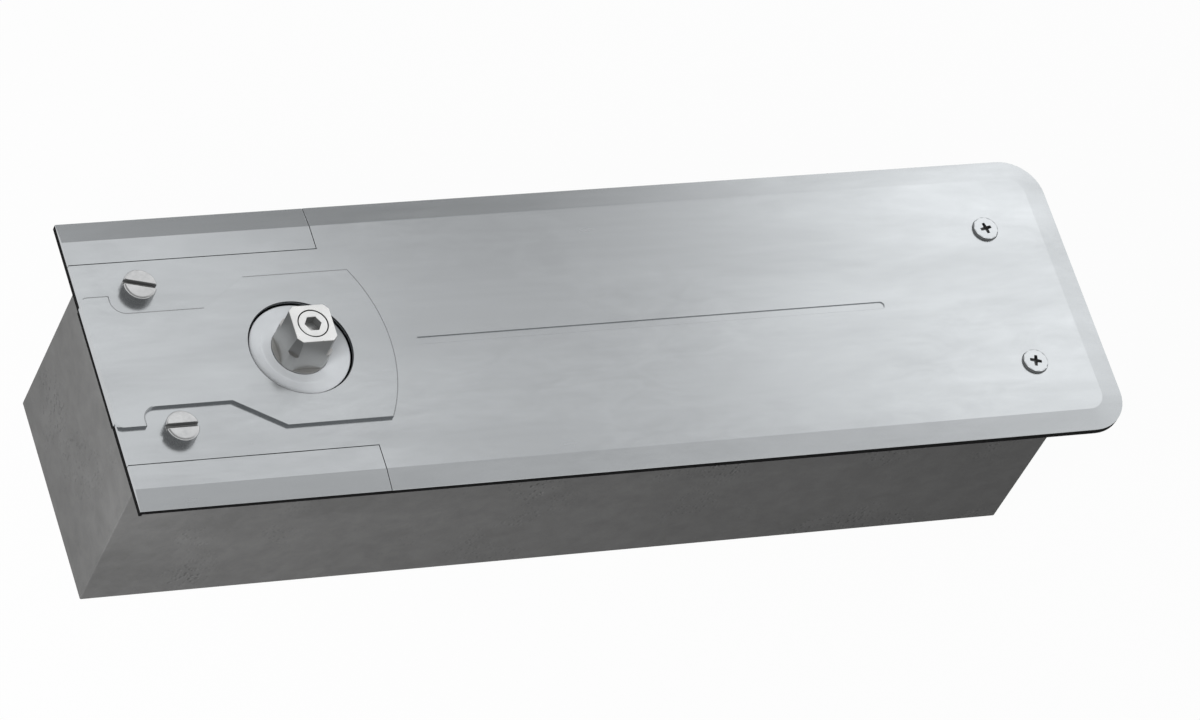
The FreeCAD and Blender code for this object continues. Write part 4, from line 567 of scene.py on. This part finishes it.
def near_axis(place, middles):
    """How far a place is from the nearest of some upright axes, in millimetres."""
    return min(math.hypot(place.x - x, place.y - y) for x, y in middles)


def is_slope(normal):
    """Whether a face slopes: neither level nor upright."""
    return SLOPE[0] < normal.z < SLOPE[1]


def middles_of(node):
    """The upright axes of a node's two screws, one each side of the middle."""
    low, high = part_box(node)
    radius = (high[0] - low[0]) / 2
    x = (low[0] + high[0]) / 2
    return [(x / MM, (low[1] + radius) / MM), (x / MM, (high[1] - radius) / MM)]


SLOTTED_MIDDLES = middles_of("slotted_cover_screws")
CROSS_MIDDLES = middles_of("cross_cover_screws")


def slotted_painted_light(place, normal):
    """Bright steel on top, a painted highlight round the rim, and painted shade in the slot and round the
    side.
    """
    if SLOT_LEVELS[0] < place.z < SLOT_LEVELS[1] and near_axis(place, SLOTTED_MIDDLES) < SLOT_REACH:
        return 1
    if place.z > RIM_FOOT and RIM_TILT < normal.z < SLOPE[1]:
        return 3
    return 2 * int(normal.z < TOP_TILT)


def cross_painted_shade(place, normal):
    """Painted shade in the cross and round the rim, satin elsewhere."""
    in_cross = place.z > CROSS_FOOT and near_axis(place, CROSS_MIDDLES) < CROSS_REACH
    if in_cross and (normal.z < LEVEL or place.z < CROSS_TOP):
        return 1
    return int(normal.z < HEAD_TILT)


def insert_painted_light(place, normal):
    """A painted highlight on the machined end, painted shade in the bore, on the corners and on their
    ledges, and ground sides.
    """
    ledge = LEDGE_LEVELS[0] < place.z < LEDGE_LEVELS[1] and normal.z > LEVEL
    corner = LEDGE_LEVELS[0] < place.z < CORNER_TOP and min(abs(normal.x), abs(normal.y)) > CORNER_TURN
    bore = place.z < BORE_TOP and math.hypot(place.x, place.y) < BORE_REACH
    if ledge or corner or bore:
        return 2
    return int(place.z > END_FOOT and normal.z > UPRIGHT)


def socket_painted_light(place, normal):
    """Painted shade on the socket's walls, and a painted highlight everywhere else."""
    return int(normal.z < UPRIGHT)


def plate_painted_shade(place, normal):
    """Satin, with painted shadow round its hole and a painted shade line at its back and its far end."""
    if place.z < PLATE_FOOT or not is_slope(normal):
        return 0
    if math.hypot(place.x, place.y) < HOLE_REACH:
        return 1
    behind = normal.y > FACES_AWAY and normal.x > NOT_LEFT
    return 2 * int(behind or normal.x > FACES_AWAY)


def cover_painted_shade(place, normal):
    """Satin, with painted shade along the front of the centre line."""
    in_lip = GROOVE_LIP[0] < place.y < GROOVE_LIP[1] and place.x > GROOVE_START
    return int(in_lip and place.z > GROOVE_FOOT and is_slope(normal) and normal.y > FACES_AWAY)


def narrow_hole_rim(shell):
    """Make the slope round the centre plate's hole narrower."""
    for vertex in shell.verts:
        place = vertex.co
        across = math.hypot(place.x, place.y) / MM
        if place.z > PLATE_FACE * MM and HOLE_RIM_FROM[0] < across < HOLE_RIM_FROM[1]:
            place.x, place.y = place.x * HOLE_RIM / across, place.y * HOLE_RIM / across


def narrow_strip_gap(shell, node):
    """Let a corner strip reach a little further towards the cover."""
    low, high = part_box(node)
    inner = min(abs(low[1]), abs(high[1]))
    for vertex in shell.verts:
        place = vertex.co
        if place.x > high[0] - NEAR * MM:
            place.x += STRIP_REACH * MM
        if abs(place.y) < inner + NEAR * MM:
            place.y -= math.copysign(STRIP_REACH * MM, place.y)


def widen_far_slopes(shell):
    """Draw in the plate's top where its slopes face away, so that the slopes and their painted shade are
    wide enough to show.
    """
    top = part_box("centre_plate")[1][2]
    shell.normal_update()
    ways = {}
    for face in shell.faces:
        if plate_painted_shade(face.calc_center_median() / MM, face.normal) != 2:
            continue
        way = Vector((face.normal.x, face.normal.y, 0)).normalized()
        for vertex in face.verts:
            if vertex.co.z > top - NEAR * MM:
                ways.setdefault(vertex, []).append(way)
    for vertex, found in ways.items():
        middle = sum(found, Vector()).normalized()
        vertex.co -= middle * (FAR_SLOPE * MM / max(CORNER_SHARE, middle.dot(found[0])))


def flatten_heads(shell):
    """Give the cross screws wide, flat heads and smaller crosses."""
    for vertex in shell.verts:
        place = vertex.co
        if place.z < HEAD_FOOT * MM:
            continue
        x, y = min(CROSS_MIDDLES, key=lambda axis: near_axis(place / MM, [axis]))
        off_x, off_y = place.x - x * MM, place.y - y * MM
        reach = math.hypot(off_x, off_y) / MM
        if reach < CROSS_MIDDLE:
            share = 1
        elif reach < CROSS_REACH:
            share = CROSS_SHARE
        else:
            share = (HEAD_TOP if place.z > HEAD_FACE * MM else HEAD_SIDE) / reach
        place.x, place.y = x * MM + off_x * share, y * MM + off_y * share
        if place.z > HEAD_FACE * MM:
            place.z -= HEAD_DROP * MM


def add_gasket_edges(shell):
    """Let the gasket's rim sag a little, and carry it out under the centre plate's lip."""
    low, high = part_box("cover_gasket")
    box_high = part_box("cement_box")[1]
    clear, tab, foot = GASKET_CLEAR * MM, GASKET_TAB * MM, -GASKET_SAG * MM
    for vertex in shell.verts:
        place = vertex.co
        outside = place.x > box_high[0] + clear or abs(place.y) > box_high[1] + clear
        if outside and place.x > STRAIGHT_END * MM and place.z < GASKET_FOOT * MM:
            place.z += foot
    under_lip = (low[0] - LIP_BLOCK_GAP * MM, tab, GASKET_LIP * MM)
    add_block(shell, (cad_bounds[0].x, -tab, foot), under_lip, LIP_BLOCK_EDGE)
    back, top = low[0] + END_BLOCK_DEPTH * MM, END_BLOCK_TOP * MM
    for start, end in ((low[1], -tab), (tab, high[1])):
        add_block(shell, (low[0], start, foot), (back, end, top), END_BLOCK_EDGE)


def add_block(shell, low, high, width):
    """Add a block with edges softened by a width in millimetres."""
    block = bmesh.new()
    for vertex in bmesh.ops.create_cube(block, size=1.0)["verts"]:
        vertex.co = Vector(a + (b - a) * (c + 0.5) for a, b, c in zip(low, high, vertex.co))
    edges = list(block.edges)
    bmesh.ops.bevel(block, geom=edges, offset=width * MM, segments=2, profile=0.5, affect="EDGES")
    append_shell(shell, block)


def append_shell(shell, other):
    """Move a surface into another, which is filled anew so that its faces' order is the same each run."""
    meshes = []
    for part in (shell, other):
        mesh = bpy.data.meshes.new("part")
        part.to_mesh(mesh)
        part.clear()
        meshes.append(mesh)
    other.free()
    for mesh in meshes:
        shell.from_mesh(mesh)
        bpy.data.meshes.remove(mesh)


def dress_visible():
    """Softer edges for the pieces that show, and painted shade and painted highlights on chosen faces of
    some.
    """
    painted_light_picks = {
        "slotted_cover_screws": (
            ("bright_steel", "socket_wall", "screw_wall", "screw_rim"), slotted_painted_light,
        ),
        "cross_cover_screws": (("satin_steel", "socket_wall"), cross_painted_shade),
        "spindle_insert": (("ground_side", "machined_end", "ground_corner"), insert_painted_light),
        "spindle_insert_screw": (("machined_end", "socket_wall"), socket_painted_light),
        "centre_plate": (("satin_steel", "plate_edge", "plate_line"), plate_painted_shade),
        "cover_plate": (("satin_steel", "plate_edge"), cover_painted_shade),
    }
    for node, (width, level) in SOFT_EDGES.items():
        shell = joined_copy(node)
        if node == "centre_plate":
            narrow_hole_rim(shell)
        if node == "cross_cover_screws":
            flatten_heads(shell)
        if node.endswith("corner_strip"):
            narrow_strip_gap(shell, node)
        soften(shell, width, level)
        if node == "centre_plate":
            widen_far_slopes(shell)
        if node == "cover_gasket":
            add_gasket_edges(shell)
        materials, pick = painted_light_picks.get(node, ((SLOTS[node],), None))
        add_piece(node + "_finish", shell, node, materials, pick)


def turned_shell(profile, steps):
    """A surface turned about the spindle's axis from a closed (radius, height) outline in millimetres."""
    shell = bmesh.new()
    rings = []
    for radius, height in profile:
        ring = []
        for step in range(steps):
            angle = math.tau * step / steps
            x, y = radius * MM * math.cos(angle), radius * MM * math.sin(angle)
            ring.append(shell.verts.new((x, y, height * MM)))
        rings.append(ring)
    for ring, following in zip(rings, rings[1:] + rings[:1]):
        for step in range(steps):
            after = (step + 1) % steps
            shell.faces.new((ring[step], ring[after], following[after], following[step]))
    bmesh.ops.recalc_face_normals(shell, faces=shell.faces)
    return shell


def add_cover_ring():
    """The ring round the spindle, slightly dished, with a lip that closes up to the spindle's collar."""
    shell = turned_shell(RING_OUTLINE, RING_STEPS)
    add_piece("spindle_cover_ring_finish", shell, "spindle_cover_ring", ("turned_ring",))


def add_spring():
    """The closing spring, which shortens as the carriage comes back."""
    shell = joined_copy("closing_spring")
    piece = add_piece("closing_spring_finish", shell, "closing_spring", (SLOTS["closing_spring"],))
    piece.modifiers.clear()
    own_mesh(piece)


def add_camera():
    data = bpy.data.cameras.new("photo_camera")
    data.lens = CAMERA_LENS
    data.sensor_width = CAMERA_SENSOR
    data.sensor_fit = "HORIZONTAL"
    data.clip_start, data.clip_end = CAMERA_CLIP
    camera = bpy.data.objects.new("photo_camera", data)
    columns = (Vector(CAMERA_RIGHT), -Vector(CAMERA_DOWN), -Vector(CAMERA_FORWARD))
    camera.matrix_world = Matrix.Translation(CAMERA_PLACE) @ Matrix(columns).transposed().to_4x4()
    bpy.context.scene.collection.objects.link(camera)
    bpy.context.scene.camera = camera


def aim(obj, place, target):
    obj.location = place
    obj.rotation_euler = (Vector(target) - Vector(place)).to_track_quat("-Z", "Y").to_euler()


def add_area(name, place, target, width, watts):
    data = bpy.data.lights.new(name, "AREA")
    data.shape = "RECTANGLE"
    data.size = width
    data.size_y = width
    data.energy = watts
    lamp = bpy.data.objects.new(name, data)
    aim(lamp, place, target)
    bpy.context.scene.collection.objects.link(lamp)
    return lamp


def seen_directly(tree):
    """One for rays from the camera and for those that metal or glass sends on."""
    path = tree.nodes.new("ShaderNodeLightPath")
    total = path.outputs["Is Camera Ray"]
    for name in ("Is Glossy Ray", "Is Transmission Ray"):
        add = tree.nodes.new("ShaderNodeMath")
        add.operation = "MAXIMUM"
        tree.links.new(total, add.inputs[0])
        tree.links.new(path.outputs[name], add.inputs[1])
        total = add.outputs[0]
    return total


def add_world():
    world = bpy.data.worlds.new("studio")
    bpy.context.scene.world = world
    world.use_nodes = True
    tree = world.node_tree
    background = tree.nodes["Background"]
    background.inputs["Color"].default_value = (1, 1, 1, 1)
    level = tree.nodes.new("ShaderNodeMapRange")
    level.inputs["To Min"].default_value = AMBIENT
    level.inputs["To Max"].default_value = BACKDROP
    tree.links.new(seen_directly(tree), level.inputs["Value"])
    tree.links.new(level.outputs["Result"], background.inputs["Strength"])


def add_floor():
    """A white floor under the box that keeps a faint shadow."""
    low = cad_bounds[0].z
    size = FLOOR_REACH
    mesh = bpy.data.meshes.new("floor")
    corners = [(-size, -size, low), (size, -size, low), (size, size, low), (-size, size, low)]
    mesh.from_pydata(corners, [], [(0, 1, 2, 3)])
    floor = bpy.data.objects.new("floor", mesh)
    bpy.context.scene.collection.objects.link(floor)
    material = bpy.data.materials.new("floor")
    material.use_nodes = True
    tree = material.node_tree
    tree.nodes.clear()
    output = tree.nodes.new("ShaderNodeOutputMaterial")
    diffuse = tree.nodes.new("ShaderNodeBsdfDiffuse")
    diffuse.inputs["Color"].default_value = FLOOR_COLOUR
    glow = tree.nodes.new("ShaderNodeEmission")
    glow.inputs["Strength"].default_value = BACKDROP
    share = tree.nodes.new("ShaderNodeMath")
    share.operation = "MULTIPLY"
    share.inputs[1].default_value = FLOOR_GLOW
    tree.links.new(seen_directly(tree), share.inputs[0])
    mix = tree.nodes.new("ShaderNodeMixShader")
    tree.links.new(share.outputs[0], mix.inputs[0])
    tree.links.new(diffuse.outputs[0], mix.inputs[1])
    tree.links.new(glow.outputs[0], mix.inputs[2])
    tree.links.new(mix.outputs[0], output.inputs["Surface"])
    mesh.materials.append(material)


def card_profile(tree, x, stops):
    """How bright the card is along X, from (place, level) pairs."""
    ramp = tree.nodes.new("ShaderNodeValToRGB")
    first, last = stops[0][0], stops[-1][0]
    reach = tree.nodes.new("ShaderNodeMapRange")
    reach.inputs["From Min"].default_value = first
    reach.inputs["From Max"].default_value = last
    tree.links.new(x, reach.inputs["Value"])
    tree.links.new(reach.outputs["Result"], ramp.inputs["Fac"])
    points = ramp.color_ramp.elements
    while len(points) < len(stops):
        points.new(0.5)
    for point, (place, level) in zip(points, stops):
        point.position = (place - first) / (last - first)
        point.color = (level / CARD_FULL,) * 3 + (1,)
    return ramp.outputs["Color"]


def add_card():
    """A graded reflector over the cover, which only shows in what is polished."""
    mesh = bpy.data.meshes.new("graded_card")
    (left, front), (right, back) = CARD_CORNERS
    places = [(left, front), (right, front), (right, back), (left, back)]
    corners = [(x, y, CARD_HEIGHT) for x, y in places]
    mesh.from_pydata(corners, [], [(0, 1, 2, 3)])
    card = bpy.data.objects.new("graded_card", mesh)
    bpy.context.scene.collection.objects.link(card)
    material = bpy.data.materials.new("graded_card")
    material.use_nodes = True
    tree = material.node_tree
    tree.nodes.clear()
    place = tree.nodes.new("ShaderNodeTexCoord").outputs["Object"]
    axes = tree.nodes.new("ShaderNodeSeparateXYZ")
    tree.links.new(place, axes.inputs[0])
    colour = None
    for (start, end), stops in CARD_BANDS:
        band = card_profile(tree, axes.outputs["X"], stops)
        if colour is None:
            colour = band
            continue
        blend = tree.nodes.new("ShaderNodeMapRange")
        blend.interpolation_type = "SMOOTHSTEP"
        blend.inputs["From Min"].default_value = start
        blend.inputs["From Max"].default_value = end
        tree.links.new(axes.outputs["Y"], blend.inputs["Value"])
        mix = tree.nodes.new("ShaderNodeMix")
        mix.data_type = "RGBA"
        tree.links.new(blend.outputs["Result"], mix.inputs[0])
        tree.links.new(colour, mix.inputs[6])
        tree.links.new(band, mix.inputs[7])
        colour = mix.outputs[2]
    glow = tree.nodes.new("ShaderNodeEmission")
    glow.inputs["Strength"].default_value = CARD_FULL
    output = tree.nodes.new("ShaderNodeOutputMaterial")
    tree.links.new(colour, glow.inputs["Color"])
    tree.links.new(glow.outputs[0], output.inputs["Surface"])
    mesh.materials.append(material)
    only_mirrored(card)


def add_screen():
    """A dim, curved screen behind the camera, which only shows in what is polished."""
    shell = bmesh.new()
    turns, rises = SCREEN_TURN_STEPS, SCREEN_RISE_STEPS
    rows = []
    for rise in range(rises + 1):
        up = math.radians(SCREEN_RISE[0] + (SCREEN_RISE[1] - SCREEN_RISE[0]) * rise / rises)
        row = []
        for turn in range(turns + 1):
            round_z = math.radians(SCREEN_TURN[0] + (SCREEN_TURN[1] - SCREEN_TURN[0]) * turn / turns)
            level = math.cos(up)
            way = Vector((level * math.cos(round_z), level * math.sin(round_z), math.sin(up)))
            row.append(shell.verts.new(Vector(SCREEN_MIDDLE) + way * SCREEN_RADIUS))
        rows.append(row)
    for row, above in zip(rows, rows[1:]):
        for turn in range(turns):
            shell.faces.new((row[turn], row[turn + 1], above[turn + 1], above[turn]))
    mesh = bpy.data.meshes.new("dim_screen")
    shell.to_mesh(mesh)
    shell.free()
    screen = bpy.data.objects.new("dim_screen", mesh)
    bpy.context.scene.collection.objects.link(screen)
    material = bpy.data.materials.new("dim_screen")
    material.use_nodes = True
    tree = material.node_tree
    tree.nodes.clear()
    glow = tree.nodes.new("ShaderNodeEmission")
    glow.inputs["Strength"].default_value = SCREEN_LEVEL
    output = tree.nodes.new("ShaderNodeOutputMaterial")
    tree.links.new(glow.outputs[0], output.inputs["Surface"])
    mesh.materials.append(material)
    only_mirrored(screen)


def only_mirrored(obj):
    """Part of the stage that is seen in polished metal and nowhere else."""
    obj.visible_camera = False
    obj.visible_diffuse = False
    obj.visible_shadow = False
    obj.visible_transmission = False


def add_lights():
    """A key lamp in front and a wide lamp behind, which polished metal doesn't mirror."""
    key = add_area("key", KEY_PLACE, KEY_TARGET, KEY_SIZE, KEY_WATTS)
    rear = add_area("rear", REAR_PLACE, REAR_TARGET, REAR_SIZE, REAR_WATTS)
    for lamp in (key, rear):
        lamp.visible_glossy = False


bpy.context.scene.view_settings.view_transform = "Standard"
dress_nodes()
dress_visible()
add_cover_ring()
add_spring()
add_camera()
add_world()
add_floor()
add_card()
add_screen()
add_lights()
